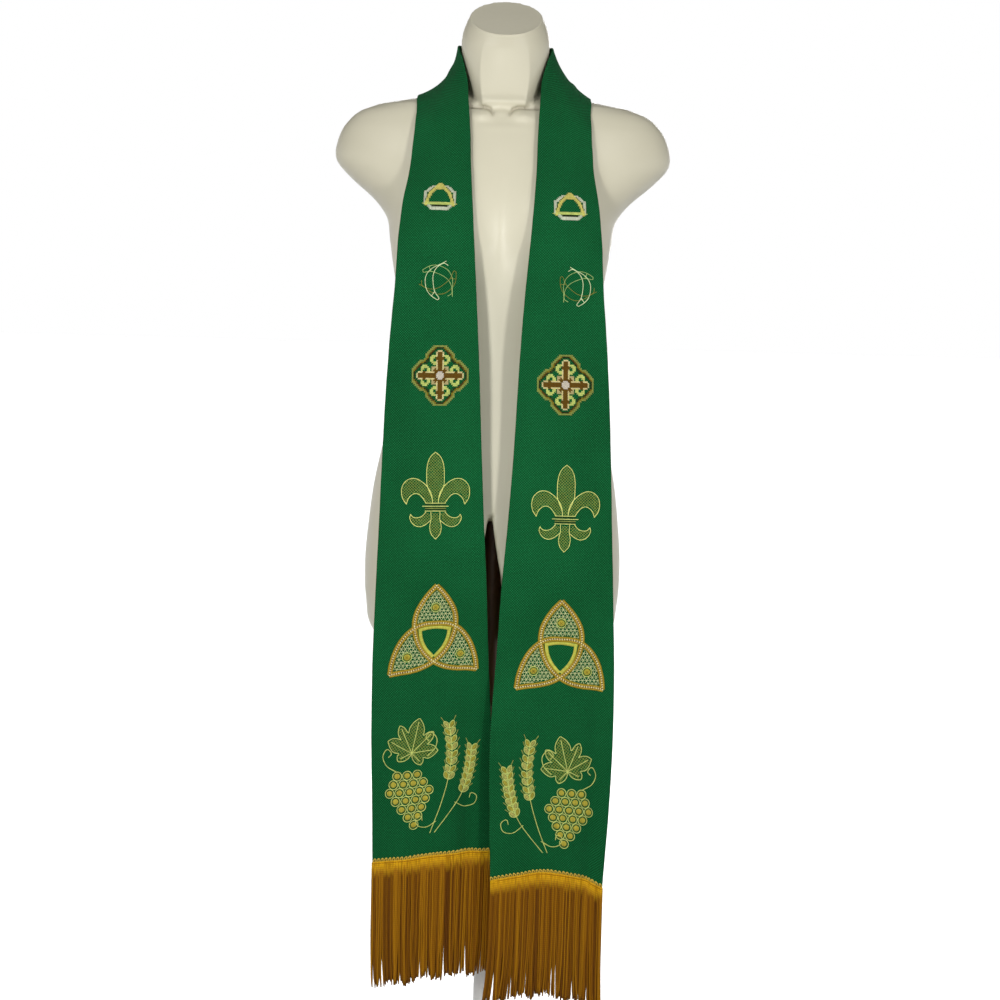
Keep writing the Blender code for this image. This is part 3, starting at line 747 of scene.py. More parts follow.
def spin_profile(name, profile, material):
    """A round piece turned from a half profile of (radius, height) points, closed on itself."""
    item = start_circle(name, [(radius, 0, height) for radius, height in profile], "NOTHING")
    edit_all()
    bpy.ops.mesh.spin(steps=ROUND_STEPS, angle=FULL_TURN, center=(0, 0, 0), axis=(0, 0, 1))
    bpy.ops.mesh.select_all(action="SELECT")
    bpy.ops.mesh.remove_doubles(threshold=0.01 * MM)
    bpy.ops.mesh.normals_make_consistent(inside=False)
    leave_edit()
    bpy.ops.object.shade_smooth_by_angle(angle=math.radians(SHARP_ANGLE))
    item.data.materials.append(material)
    return item


def build_stand(metal, pale_metal):
    """A round base and a two-part pole: pale below the joint, dark above it, where its dark brown stands in
    as painted shade in the gap between the fronts.
    """
    bore = POLE_RADIUS + CLEARANCE
    plate = (
        (bore, POLE_FOOT - CLEARANCE),
        (bore, HUB_TOP),
        (HUB_RADIUS - CORNER, HUB_TOP),
        (HUB_RADIUS - 0.0006, HUB_TOP - 0.0006),
        (HUB_RADIUS, HUB_TOP - CORNER),
        (HUB_RADIUS, BASE_CROWN + 0.0050),
        (HUB_RADIUS + 0.0012, BASE_CROWN + 0.0020),
        (HUB_RADIUS + 0.0040, BASE_CROWN),
        (BASE_RADIUS * 0.62, BASE_EDGE + 0.0026),
        (BASE_RADIUS - CORNER, BASE_EDGE),
        (BASE_RADIUS - 0.0007, BASE_EDGE - 0.0006),
        (BASE_RADIUS, BASE_EDGE - CORNER),
        (BASE_RADIUS, 0.0012),
        (BASE_RADIUS - 0.0012, 0.0),
        (bore + 0.0040, 0.0),
        (bore + 0.0040, TUBE_WALL),
        (bore, TUBE_WALL),
    )
    lower = POLE_RADIUS - TUBE_STEP
    tube = (
        (POLE_RADIUS - TUBE_WALL, POLE_FOOT),
        (lower, POLE_FOOT),
        (lower, POLE_FOOT + 0.0004),
        (lower, POLE_JOINT - 0.0060),
        (lower, POLE_JOINT - 0.0002),
        (POLE_RADIUS, POLE_JOINT + 0.0002),
        (POLE_RADIUS, SLEEVE_FOOT),
        (SLEEVE_RADIUS - SLEEVE_CORNER, SLEEVE_FOOT),
        (SLEEVE_RADIUS, SLEEVE_FOOT + SLEEVE_CORNER),
        (SLEEVE_RADIUS, SLEEVE_TOP - SLEEVE_CORNER),
        (SLEEVE_RADIUS - SLEEVE_CORNER, SLEEVE_TOP),
        (POLE_RADIUS, SLEEVE_TOP),
        (POLE_RADIUS, POLE_TOP - TUBE_CORNER),
        (POLE_RADIUS - TUBE_CORNER, POLE_TOP),
        (POLE_RADIUS - TUBE_WALL, POLE_TOP),
    )
    base = spin_profile("base_plate", plate, pale_metal)
    pole = spin_profile("pole_tube", tube, metal)
    pole.data.materials.append(pale_metal)
    for face in pole.data.polygons:
        face.material_index = int(face.center.z < POLE_JOINT)
    for item, node in ((base, "stand_base"), (pole, "stand_pole")):
        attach(item, "root")
        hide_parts(node)


# ---- the drape


def drape_table():
    """The drape from one hem over the back of the neck to the other, and its stations."""
    front = np.array(DRAPE, dtype=float)
    along = run_along((front[:, 0:3] + front[:, 3:6]) / 2)
    mirror = front[1:][::-1].copy()
    mirror[:, [0, 3]] *= -1
    return np.concatenate([-along[1:][::-1], along]), np.concatenate([mirror, front])


def outward_of(points, side):
    """Unit vectors that point away from the wearer, at each point of a grid of rows and columns."""
    return unit(np.cross(np.gradient(points, axis=1), np.gradient(points, axis=0)) * -side)


def drape_points(front, along, across):
    """Points of the cloth's middle: one row for each distance from the seam, one column across."""
    stations, table = drape_table()
    drops = np.array(front.hem, dtype=float)
    drop = smooth_rows(drops[:, 0], drops[:, 1:], across)[:, 0]
    fade = np.clip((along - PANEL_LENGTH + HEM_BLEND) / HEM_BLEND, 0, None) ** 2
    place = NECK_SLIP + front.side * (along[:, None] + fade[:, None] * drop[None, :])
    rows = smooth_rows(stations, table, place.ravel()).reshape(len(along), len(across), 7)
    share = across[None, :, None]
    points = rows[:, :, 0:3] * (1 - share) + rows[:, :, 3:6] * share
    collar = front.collar * np.exp(-((along - COLLAR_PLACE) / COLLAR_SPREAD) ** 2)
    bow = rows[:, :, 6:7] + collar[:, None, None]
    points = points + outward_of(points, front.side) * bow * 4 * share * (1 - share)
    return points + hang_shift(front, points, across)


def hang_shift(front, points, across):
    """Sideways and backwards shifts of one front: its own hang and its soft folds."""
    hang = np.array(front.hang[::-1], dtype=float)
    height = np.clip(points[:, :, 2], hang[0, 0], hang[-1, 0])
    shift = smooth_rows(hang[:, 0], hang[:, 1:], height.ravel()).reshape(*height.shape, 4)
    shift *= (points[:, :, 1:2] < 0)
    sideways = shift[:, :, 0] * (1 - across) + shift[:, :, 1] * across
    backwards = shift[:, :, 2] * (1 - across) ** EDGE_HOLD + shift[:, :, 3] * across ** EDGE_HOLD
    for fold in front.folds:
        strength = np.clip((fold.gone_at - points[:, :, 2]) / (fold.gone_at - fold.full_at), 0, 1)
        strength = strength ** 2 * (3 - 2 * strength)
        off_middle = (across - fold.across) / fold.half_width
        backwards = backwards + fold.depth * strength * np.exp(-off_middle ** 2)
    return np.stack([front.side * sideways, backwards, np.zeros_like(backwards)], axis=2)


def crease_relief(front, along, across, width):
    """How far creases and dents push the cloth outwards, for each row and column."""
    down = along[:, None]
    over = (across[None, :] - 0.5) * width[:, None]
    relief = np.zeros(over.shape)
    for crease in front.creases:
        there = np.interp(crease.along, along, width) * (crease.across - 0.5)
        turn = math.radians(crease.turn)
        with_it = (down - crease.along) * math.cos(turn) + (over - there) * math.sin(turn)
        off_it = (over - there) * math.cos(turn) - (down - crease.along) * math.sin(turn)
        shape = np.exp(-(with_it / crease.half_length) ** 2 - (off_it / crease.half_width) ** 2)
        relief += crease.depth * shape
    ripple = np.sin(down * RIPPLE_SLOW + front.seed)
    ripple = ripple + np.sin(down * RIPPLE_QUICK + over * RIPPLE_SLANT + front.seed)
    near_edge = np.exp(-(across / RIPPLE_REACH) ** 2) + np.exp(-((1 - across) / RIPPLE_REACH) ** 2)
    return relief + RIPPLE_HEIGHT * ripple * near_edge[None, :]


class Cloth:
    """One front of the stole as a fine grid: its middle surface, its outward directions and widths."""

    def __init__(self, front, form_tree):
        self.front = front
        round_neck = np.linspace(SEAM_GAP / 2, NECK_STRETCH, ROWS_ROUND_NECK, endpoint=False)
        down_front = np.linspace(NECK_STRETCH, PANEL_LENGTH + HEM_TURNING, ROWS_DOWN_FRONT)
        self.along = np.concatenate([round_neck, down_front])
        self.across = np.linspace(0, 1, COLUMNS_ACROSS + 1)
        points = drape_points(front, self.along, self.across)
        self.width = np.linalg.norm(np.diff(points, axis=1), axis=2).sum(axis=1)
        relief = crease_relief(front, self.along, self.across, self.width)
        points = points + outward_of(points, front.side) * relief[:, :, None]
        self.points = self.lifted(points, form_tree)
        self.outward = outward_of(self.points, front.side)

    @staticmethod
    def lifted(points, form_tree):
        """The points, moved off the form where they would be in it or too near."""
        flat = points.reshape(-1, 3)
        for index in np.nonzero(flat[:, 2] >= TOUCHES_FORM_ABOVE)[0]:
            point = Vector(flat[index])
            nearest, normal, _, distance = form_tree.find_nearest(point)
            inside = (point - nearest).dot(normal) < 0
            if inside or distance < CLEAR_OF_FORM:
                flat[index] = nearest + normal * CLEAR_OF_FORM
        return flat.reshape(points.shape)

    def cell_of(self, x, z):
        """Fractional row and column of the point of the cloth that shows at this x and z."""
        off = (self.points[:, :, 0] - x) ** 2 + (self.points[:, :, 2] - z) ** 2
        off[self.points[:, :, 1] > 0] = np.inf
        row, column = np.unravel_index(np.argmin(off), off.shape)
        row = min(max(row, 1), len(self.along) - 2)
        column = min(max(column, 1), len(self.across) - 2)
        down = (self.points[row + 1, column] - self.points[row - 1, column]) / 2
        over = (self.points[row, column + 1] - self.points[row, column - 1]) / 2
        rest = np.array([x, z]) - self.points[row, column][[0, 2]]
        step = np.linalg.solve(np.array([[down[0], over[0]], [down[2], over[2]]]), rest)
        return row + step[0], column + step[1]

    def place_of(self, x, z):
        """Distance from the seam and share across, for the point that shows at this x and z."""
        row, column = self.cell_of(x, z)
        return np.interp(row, np.arange(len(self.along)), self.along), column / COLUMNS_ACROSS

    def at(self, along, across):
        """Points of the cloth's middle and their outward directions."""
        row = np.interp(along, self.along, np.arange(len(self.along)))
        column = np.clip(across, 0, 1) * COLUMNS_ACROSS
        low_row = np.minimum(row.astype(int), len(self.along) - 2)
        low_column = np.minimum(column.astype(int), COLUMNS_ACROSS - 1)
        down, over = (row - low_row)[:, None], (column - low_column)[:, None]
        found = []
        for grid in (self.points, self.outward):
            near = grid[low_row, low_column] * (1 - over) + grid[low_row, low_column + 1] * over
            far = grid[low_row + 1, low_column] * (1 - over) + grid[low_row + 1, low_column + 1] * over
            found.append(near * (1 - down) + far * down)
        return found[0], unit(found[1])

    def work_at(self, place, offsets):
        """Points on the outer face for needlework: offsets to the viewer's right, and up, in metres."""
        along = place[0] - offsets[:, 1]
        across = place[1] - offsets[:, 0] / np.interp(along, self.along, self.width)
        middle, outward = self.at(along, across)
        return middle + outward * CLOTH_WALL / 2, outward


def sew_panel(cloth, material):
    """One half of the stole as a closed wall with rounded folds along its long edges."""
    front = cloth.front
    half = np.full(len(cloth.along), CLOTH_WALL / 2)
    half *= 1 - SEAM_PINCH * np.exp(-((cloth.along - cloth.along[0]) / SEAM_PINCH_REACH) ** 2)
    half = half[:, None, None]
    over = unit(np.gradient(cloth.points, axis=1))
    middle = cloth.points.copy()
    middle[:, 0] += over[:, 0] * half[:, :, 0]
    middle[:, -1] -= over[:, -1] * half[:, :, 0]
    loops = [middle + cloth.outward * half]
    for edge, direction in ((-1, over[:, -1]), (0, -over[:, 0])):
        turn = []
        for step in range(1, EDGE_STEPS + 1):
            angle = math.pi * step / (EDGE_STEPS + 1)
            facing = math.cos(angle) if edge == -1 else -math.cos(angle)
            round_it = cloth.outward[:, edge] * facing + direction * math.sin(angle)
            turn.append(middle[:, edge] + round_it * half[:, :, 0])
        loops.append(np.stack(turn, axis=1))
        if edge == -1:
            loops.append((middle - cloth.outward * half)[:, ::-1])
    ring = np.concatenate(loops, axis=1)
    rows, around = ring.shape[:2]
    columns = len(cloth.across)
    width = cloth.width[:, None]
    flat_across = (cloth.across[None, :] - 0.5) * width
    uv_across = np.concatenate([
        flat_across,
        np.repeat(flat_across[:, -1:], EDGE_STEPS, axis=1),
        flat_across[:, ::-1],
        np.repeat(flat_across[:, :1], EDGE_STEPS, axis=1),
    ], axis=1)
    uv = np.stack([uv_across, np.repeat(-cloth.along[:, None], around, axis=1)], axis=2)
    start = np.arange(rows - 1)[:, None] * around
    step = np.arange(around)[None, :]
    following = (step + 1) % around
    above, below = start, start + around
    quads = np.stack([above + step, below + step, below + following, above + following], axis=2)
    quads = quads.reshape(-1, 4)
    face_side = np.arange(columns - 1)
    back_side = 2 * columns - 1 + EDGE_STEPS - face_side
    caps = []
    for base, flip in ((0, False), ((rows - 1) * around, True)):
        cap = np.stack([face_side, face_side + 1, back_side - 1, back_side], axis=1) + base
        caps.append(cap[:, ::-1] if flip else cap)
    quads = np.concatenate([quads, *caps])
    if front.side < 0:
        quads = quads[:, ::-1]
    item = link_mesh("panel_cloth_" + front.name, ring.reshape(-1, 3), quads, material)
    write_uv(item.data, uv.reshape(-1, 2))
    close_edge_caps(item)
    return item


def close_edge_caps(item):
    """The small half-round openings at the ends of the folded edges are filled."""
    make_active(item)
    bpy.ops.object.mode_set(mode="EDIT")
    bpy.ops.mesh.select_all(action="DESELECT")
    bpy.ops.mesh.select_mode(type="VERT")
    bpy.ops.mesh.select_non_manifold(extend=False, use_boundary=True)
    bpy.ops.mesh.fill_holes(sides=8)
    leave_edit()


# ---- needlework

# Threads: linear colour and the thickness of one strand as it lies.
Thread = namedtuple("Thread", "colour thick")
CREAM = Thread((1.00, 0.87, 0.44), 0.00185)
FINE_CREAM = Thread(CREAM.colour, 0.00095)
HONEY = Thread((0.70, 0.58, 0.28), 0.00095)
PALE = Thread((0.74, 0.84, 0.24), 0.00105)
LINE = Thread((0.92, 1.00, 0.30), 0.00096)
MINT = Thread((0.95, 1.00, 0.50), 0.00054)
MINT_LINE = Thread((0.80, 0.97, 0.56), 0.00096)
MINT_FAINT = Thread((0.42, 0.62, 0.22), 0.00080)
STRAW = Thread((0.76, 0.70, 0.19), 0.00110)
LEMON = Thread((0.66, 0.66, 0.11), 0.00120)
YELLOW = Thread((0.60, 0.52, 0.07), 0.00120)
FINE_YELLOW = Thread(YELLOW.colour, 0.00100)
GOLD = Thread((0.64, 0.45, 0.045), 0.00115)
DULL_GOLD = Thread((0.33, 0.24, 0.020), 0.00110)
FINE_DULL_GOLD = Thread(DULL_GOLD.colour, 0.00080)
OLIVE = Thread((0.39, 0.45, 0.078), 0.00056)
FINE_OLIVE = Thread(OLIVE.colour, 0.00046)
BROWN = Thread((0.18, 0.092, 0.009), 0.00115)
# Painted shade: a near-black thread that darkens the gaps between lighter rows and the inside of the
# medallion's frame, where the cloth lies in shade.
DARK = Thread((0.030, 0.030, 0.006), 0.00090)
SAGE = Thread((0.36, 0.42, 0.10), 0.00100)
FAINT = Thread((0.26, 0.25, 0.040), 0.00076)
WHITE = Thread((0.68, 0.74, 0.58), 0.00105)
BLUSH = Thread((0.84, 0.78, 0.68), 0.00110)

STITCH_STEP = 0.0026  # a backstitch
STITCH_LAP = 1.12  # how much longer than its step a stitch is, so that they meet
STITCH_SIDES = 5
STITCH_BENDS = (-0.30, 0.30)  # where the rod of one stitch is cut so that it can bend
STITCH_END_SIZE = 0.62  # share of its thickness that is left at its ends
STITCH_ARCH = 0.62  # how far its middle rises, and how far its ends sink, in thicknesses
STITCH_SINK = 0.12
STITCH_OVERSHOOT = 0.50  # thicknesses added to its length
STITCH_FLATTEN = 0.75
STITCH_THICKNESS = (0.92, 1.08)  # stitches of one thread vary as much as this
STITCH_SHADE = (0.86, 1.12)
PLY_OFFSET = 0.0031  # the plies of one stitch don't line up with the next
CROSSING = 0.55  # the second leg of a cross lies this many thicknesses higher
CURVE_STEP = 0.0004  # curves are worked out this finely before they are cut into stitches
OUTLINE_STEP = 0.0010


def stitches(starts, ends, thread, lift=0.0):
    """Rows of needlework: start, end, thickness, lift above the cloth, and colour."""
    starts, ends = np.asarray(starts, dtype=float), np.asarray(ends, dtype=float)
    count = len(starts)
    fixed = np.tile([thread.thick, lift, *thread.colour], (count, 1))
    return np.hstack([starts, ends, fixed])


def smooth_line(points, step=STITCH_STEP):
    """Evenly spaced points on a smooth curve through a few points."""
    stations = run_along(points)
    at = np.linspace(0, stations[-1], max(8, int(stations[-1] / CURVE_STEP)))
    return even_line(smooth_rows(stations, points, at), step)


def even_line(points, step=STITCH_STEP):
    """Evenly spaced points on straight pieces through the points."""
    stations = run_along(points)
    count = max(1, round(stations[-1] / step))
    at = np.linspace(0, stations[-1], count + 1)
    return np.stack([np.interp(at, stations, points[:, axis]) for axis in (0, 1)], axis=1)


def to_left(directions):
    """The directions, turned a quarter to the left."""
    return np.stack([-directions[..., 1], directions[..., 0]], axis=-1)


def circle_points(middle, radius, count=48):
    angles = np.radians(np.linspace(0, 360, count))
    return np.stack([middle[0] + radius * np.cos(angles), middle[1] + radius * np.sin(angles)], axis=1)


def backstitch(line, thread, lift=0.0, slant=0.0):
    """Stitches end to end along a line; slanted, they lie across it a little, like stem stitch."""
    starts, ends = line[:-1], line[1:]
    middle, reach = (starts + ends) / 2, (ends - starts) / 2 * STITCH_LAP
    aside = to_left(reach) * slant
    return stitches(middle - reach - aside, middle + reach + aside, thread, lift)


def mm(points):
    """Millimetres as metres."""
    return np.asarray(points, dtype=float) * MM


def level_row(level, reach, thread, lift=0.0, step=STITCH_STEP):
    """A level row of backstitch, as far to the left as to the right, in millimetres."""
    return backstitch(even_line(mm([(-reach, level), (reach, level)]), step), thread, lift)


def offset_line(line, distance):
    """The line moved to its left by a distance."""
    return line + to_left(unit(np.gradient(line, axis=0))) * distance


def inside_outline(points, outline):
    """Which points lie in a closed outline."""
    crossings = np.zeros(len(points), dtype=int)
    for start, end in zip(outline, np.roll(outline, -1, axis=0)):
        rises = (start[1] > points[:, 1]) != (end[1] > points[:, 1])
        if start[1] == end[1]:
            continue
        at = start[0] + (points[:, 1] - start[1]) / (end[1] - start[1]) * (end[0] - start[0])
        crossings += rises & (points[:, 0] < at)
    return crossings % 2 == 1


def distance_to_line(points, line):
    """How far each point is from a line of straight pieces."""
    nearest = np.full(len(points), np.inf)
    for start, end in zip(line[:-1], line[1:]):
        along = end - start
        share = np.clip(((points - start) @ along) / max(along @ along, 1e-12), 0, 1)
        nearest = np.minimum(nearest, np.linalg.norm(points - start - share[:, None] * along, axis=1))
    return nearest


def lattice_fill(outline, pitch, thread, angles, margin, step=0.003, keep_off=()):
    """Parallel rows of stitches at each angle, kept inside an outline and off given circles."""
    middle = outline.mean(axis=0)
    reach = np.abs(outline - middle).max() * 1.5     # past the corners, whatever the angle
    closed = np.vstack([outline, outline[:1]])
    found = []
    for angle in angles:
        with_row = np.array([math.cos(math.radians(angle)), math.sin(math.radians(angle))])
        off_row = to_left(with_row)
        rows = np.arange(-reach, reach, pitch)
        steps = np.arange(-reach, reach, step)
        row, place = np.meshgrid(rows, steps, indexing="ij")
        centres = middle + row.reshape(-1, 1) * off_row + place.reshape(-1, 1) * with_row
        centres = centres[inside_outline(centres, outline)]
        centres = centres[distance_to_line(centres, closed) > margin]
        for keep_middle, keep_radius in keep_off:
            centres = centres[np.linalg.norm(centres - keep_middle, axis=1) > keep_radius]
        reach_out = with_row * step / 2 * STITCH_LAP
        found.append(stitches(centres - reach_out, centres + reach_out, thread))
    return np.vstack(found)


def cross_cells(cells, pitch, thread, lift=0.0):
    """A cross stitch in each cell, the second leg lying on the first."""
    cells = np.asarray(cells, dtype=float).reshape(-1, 2)
    rising = np.array([pitch * 0.5, pitch * 0.5])
    falling = rising * (1, -1)
    under = stitches(cells - falling, cells + falling, thread, lift)
    over = stitches(cells - rising, cells + rising, thread, lift + thread.thick * CROSSING)
    return np.vstack([under, over])


def cell_grid(across, up):
    """Whole numbers of cells from a motif's middle."""
    return np.array([(i, j) for i in range(-across, across + 1) for j in range(-up, up + 1)], dtype=float)


def disc_satin(middle, radius, thread, lift=0.0, pitch=0.0009):
    """Close upright stitches that fill a circle."""
    rows = np.arange(-radius + pitch / 2, radius, pitch)
    half = np.sqrt(radius ** 2 - rows ** 2)
    low = np.stack([middle[0] + rows, middle[1] - half], axis=1)
    high = np.stack([middle[0] + rows, middle[1] + half], axis=1)
    return stitches(low, high, thread, lift)


def turned(points, degrees):
    angle = math.radians(degrees)
    turn = np.array([[math.cos(angle), math.sin(angle)], [-math.sin(angle), math.cos(angle)]])
    return np.asarray(points, dtype=float) @ turn


def mirrored(points):
    return np.asarray(points, dtype=float) * (-1, 1)


# ---- the motifs, in millimetres round each one's middle; each yields its rows of needlework


def ring_and_arch():
    """Motif 1: an eight-sided ring of white cross stitch, laced with a pointed golden arch."""
    pitch = 1.55
    ring_inside, ring_outside, ring_foot, foot_half = 16.1, 19.5, -15, 9.8
    arch_half, gap_half = 1.7, 2.7
    cells = cell_grid(14, 12) * pitch
    x, y = np.abs(cells[:, 0]), cells[:, 1]
    tall = (y + 1.7) * 1.27
    size = np.maximum(np.maximum(x, abs(tall)), (x + abs(tall)) / 1.47)
    ring = (size < ring_outside) & (size > ring_inside) & ((tall > ring_foot) | (x > foot_half))
    half_arch = [
        (-16.6, -9.6), (-14.9, -4.8), (-12.9, 0.4), (-10.4, 5.2), (-6.9, 9.2), (-3.6, 12.0), (0.0, 14.8)
    ]
    arch = np.array(half_arch + [(-x, y) for x, y in reversed(half_arch[:-1])])
    from_arch = distance_to_line(cells, arch)
    crown = (x < 5.2) & (y > 8.9) & (y < 13.0)
    from_arch[crown] = np.minimum(from_arch[crown], 1.0)
    gap = (from_arch >= arch_half) & (from_arch < gap_half) & (size < 17.4) & (size > 14.2) & (x > 7)
    yield cross_cells(cells[ring & (from_arch >= arch_half) & ~gap] * MM, pitch * MM, WHITE)
    yield cross_cells(cells[from_arch < arch_half] * MM, pitch * MM, STRAW, lift=0.0003)
    # Painted shade: near-black stitches in the gap where the ring passes under the arch.
    yield cross_cells(cells[gap & (y > -3)] * MM, pitch * MM, DARK)
    for level, reach in ((-7.9, 17.6), (-9.0, 20.9), (-10.1, 18.6)):
        yield level_row(level, reach, PALE, lift=0.0008, step=0.0040)
    across = np.arange(-9.6, 9.7, 0.8)
    low, high = [np.stack([across, np.full_like(across, level)], axis=1) * MM for level in (-16.9, -13.0)]
    yield stitches(low, high, WHITE, lift=0.0003)
    # Painted shade: two near-black rows between the pale rows and the white foot.
    for level in (-11.4, -12.2):
        yield level_row(level, 9.6, DARK)


def three_fish_ring():
    """Motif 2: three line fish, each two crossing arcs, laced in a ring."""
    outer = [
        (8.8, 23.4), (1.6, 19.4), (-8.4, 14.4), (-13.5, 9.5), (-16.5, 3.1), (-16.5, -4.9), (-13.9, -13.2),
        (-8.4, -19.2), (-1.6, -23.4)
    ]
    inner = [
        (10.9, 18.4), (6.4, 21.0), (1.2, 18.6), (-4.4, 13.1), (-6.8, 7.1), (-6.8, -4.9), (-4.8, -13.4),
        (-1.8, -18.2), (0.8, -21.6), (-1.6, -23.4)
    ]
    gill = [(-4.8, -13.4), (-8.8, -18.4)]
    for turn, thread, lift in ((0, MINT_LINE, 0.0006), (-118, MINT_FAINT, 0.0003), (122, FAINT, 0.0)):
        for line in (outer, inner):
            yield backstitch(smooth_line(turned(line, turn) * MM), thread, lift)
        yield backstitch(even_line(turned(gill, turn) * MM), thread, lift)


# One scroll of the medallion: cells off the arm, and for each the cells along it from the middle.
SCROLL_ROWS = ((6, (9, 10, 11)), (5, (8, 9, 10, 11, 12)), (4, (7, 8, 11, 12)), (3, (7, 8, 12)))


def cross_medallion():
    """Motif 3: a budded cross in a notched frame, cell by cell; a is along an arm and b off it."""
    grid = cell_grid(19, 19)
    pitch = np.array([1.86, 1.97]) * MM
    a, b = np.abs(grid).max(axis=1), np.abs(grid).min(axis=1)
    away = np.hypot(grid[:, 0], grid[:, 1])
    folded = np.stack([a, b], axis=1)
    frame_line = np.array([(18.3, 0.0), (18.3, 3.0), (12.3, 8.9), (9.6, 9.6)])
    within = inside_outline(folded + (0.0, 1e-6), np.vstack([frame_line, (0.0, 0.0)]))
    depth = distance_to_line(folded, frame_line) * np.where(within, 1, -1)
    scroll = np.any([(b == off) & np.isin(a, along) for off, along in SCROLL_ROWS], axis=0)
    inner_frame = (depth > 0.45) & (depth <= 1.30)
    # The first rule that a cell meets gives its thread.
    rules = (
        (away <= 2.7, BLUSH),
        (a + b <= 5.6, BROWN),
        (((a == 5) & (b >= 3)) | ((a == 4) & (b == 4)), HONEY),
        ((a <= 5) & (b >= 3), BROWN),
        ((b <= 1) & (a <= 14), BROWN),
        ((b <= 2) & (a >= 10) & (a <= 11), BROWN),
        ((b == 2) & (a <= 14), FINE_CREAM),
        ((b <= 1) & (a == 15), FINE_CREAM),
        (scroll, PALE),
        ((depth > -0.60) & (depth <= 0.45), SAGE),
        (inner_frame & ((b <= 4) | (a <= 12)), DULL_GOLD),
        (inner_frame, BROWN),
        # Painted shade: a near-black ring just inside the frame.
        ((depth > 1.30) & (depth <= 1.9), DARK),
    )
    taken = np.zeros(len(grid), dtype=bool)
    for rule, thread in rules:
        yield cross_cells(grid[rule & ~taken] * pitch, 1.9 * MM, thread)
        taken |= rule


def fleur_de_lis():
    """Motif 4: outlined petals with a diagonal lattice, gathered in a double band."""
    spear = [
        (0.0, 53.0), (4.6, 49.3), (8.4, 43.0), (10.4, 34.0), (10.7, 23.0), (10.2, 12.5), (7.0, 4.0),
        (4.2, -3.0), (3.3, -9.6)
    ]
    petal = [
        (3.3, -9.6), (4.8, 1.5), (9.6, 10.4), (17.0, 17.2), (23.5, 20.6), (30.0, 20.9), (36.4, 17.6),
        (40.5, 11.6), (41.6, 4.2), (40.2, -3.4), (35.6, -10.4)
    ]
    under_petal = [
        (35.6, -10.4), (33.6, -4.4), (29.4, 0.6), (24.6, 2.6), (19.4, 1.0), (15.2, -3.6), (11.8, -9.0)
    ]
    lower = [(5.6, -20.0), (5.4, -29.0), (7.0, -38.0), (5.4, -47.0), (0.0, -53.4)]
    foot = [(11.8, -20.0), (13.6, -22.4), (17.4, -25.8), (22.6, -27.2), (27.6, -26.4), (30.4, -23.0)]
    under_foot = [
        (30.4, -23.0), (31.6, -27.0), (29.8, -32.0), (25.4, -36.6), (19.8, -38.2), (13.6, -36.4),
        (6.0, -30.4)
    ]
    outlines = []
    for flip in (1, -1):
        for line in (spear, petal, under_petal, lower, foot, under_foot):
            curve = smooth_line(mm(line) * (flip, 1))
            yield backstitch(curve, LINE, lift=0.0006, slant=0.12)
        for leaf, last in (((petal, under_petal), []), ((foot, under_foot), [lower[0]])):
            edges = [smooth_line(mm(line) * (flip, 1), OUTLINE_STEP) for line in leaf]
            outlines.append(np.vstack([*edges, *(mm([point]) * (flip, 1) for point in last)]))
    for line in (spear, lower):
        half = smooth_line(mm(line), OUTLINE_STEP)
        outlines.append(np.vstack([half, mirrored(half)[::-1]]))
    for outline in outlines:
        yield lattice_fill(outline, 2.5 * MM, FINE_OLIVE, angles=(45, 135), margin=1.0 * MM)
    for level, reach in ((-9.2, 12.2), (-13.0, 15.8), (-18.9, 12.6)):
        yield level_row(level, reach, LINE, lift=0.0007, step=0.0032)
    # Painted shade: the near-black rows fill the gaps between the band's light rows.
    for level, thread in ((-10.9, DARK), (-14.8, DARK), (-15.7, SAGE), (-17.2, DARK)):
        yield level_row(level, 12.6, thread)


# Rows of one band of the triquetra: how far aside of its middle line each lies, in millimetres.
BAND_ROWS = ((-2.7, DULL_GOLD), (-1.8, GOLD), (1.8, GOLD), (2.7, DULL_GOLD), (-0.6, BROWN), (0.6, BROWN))


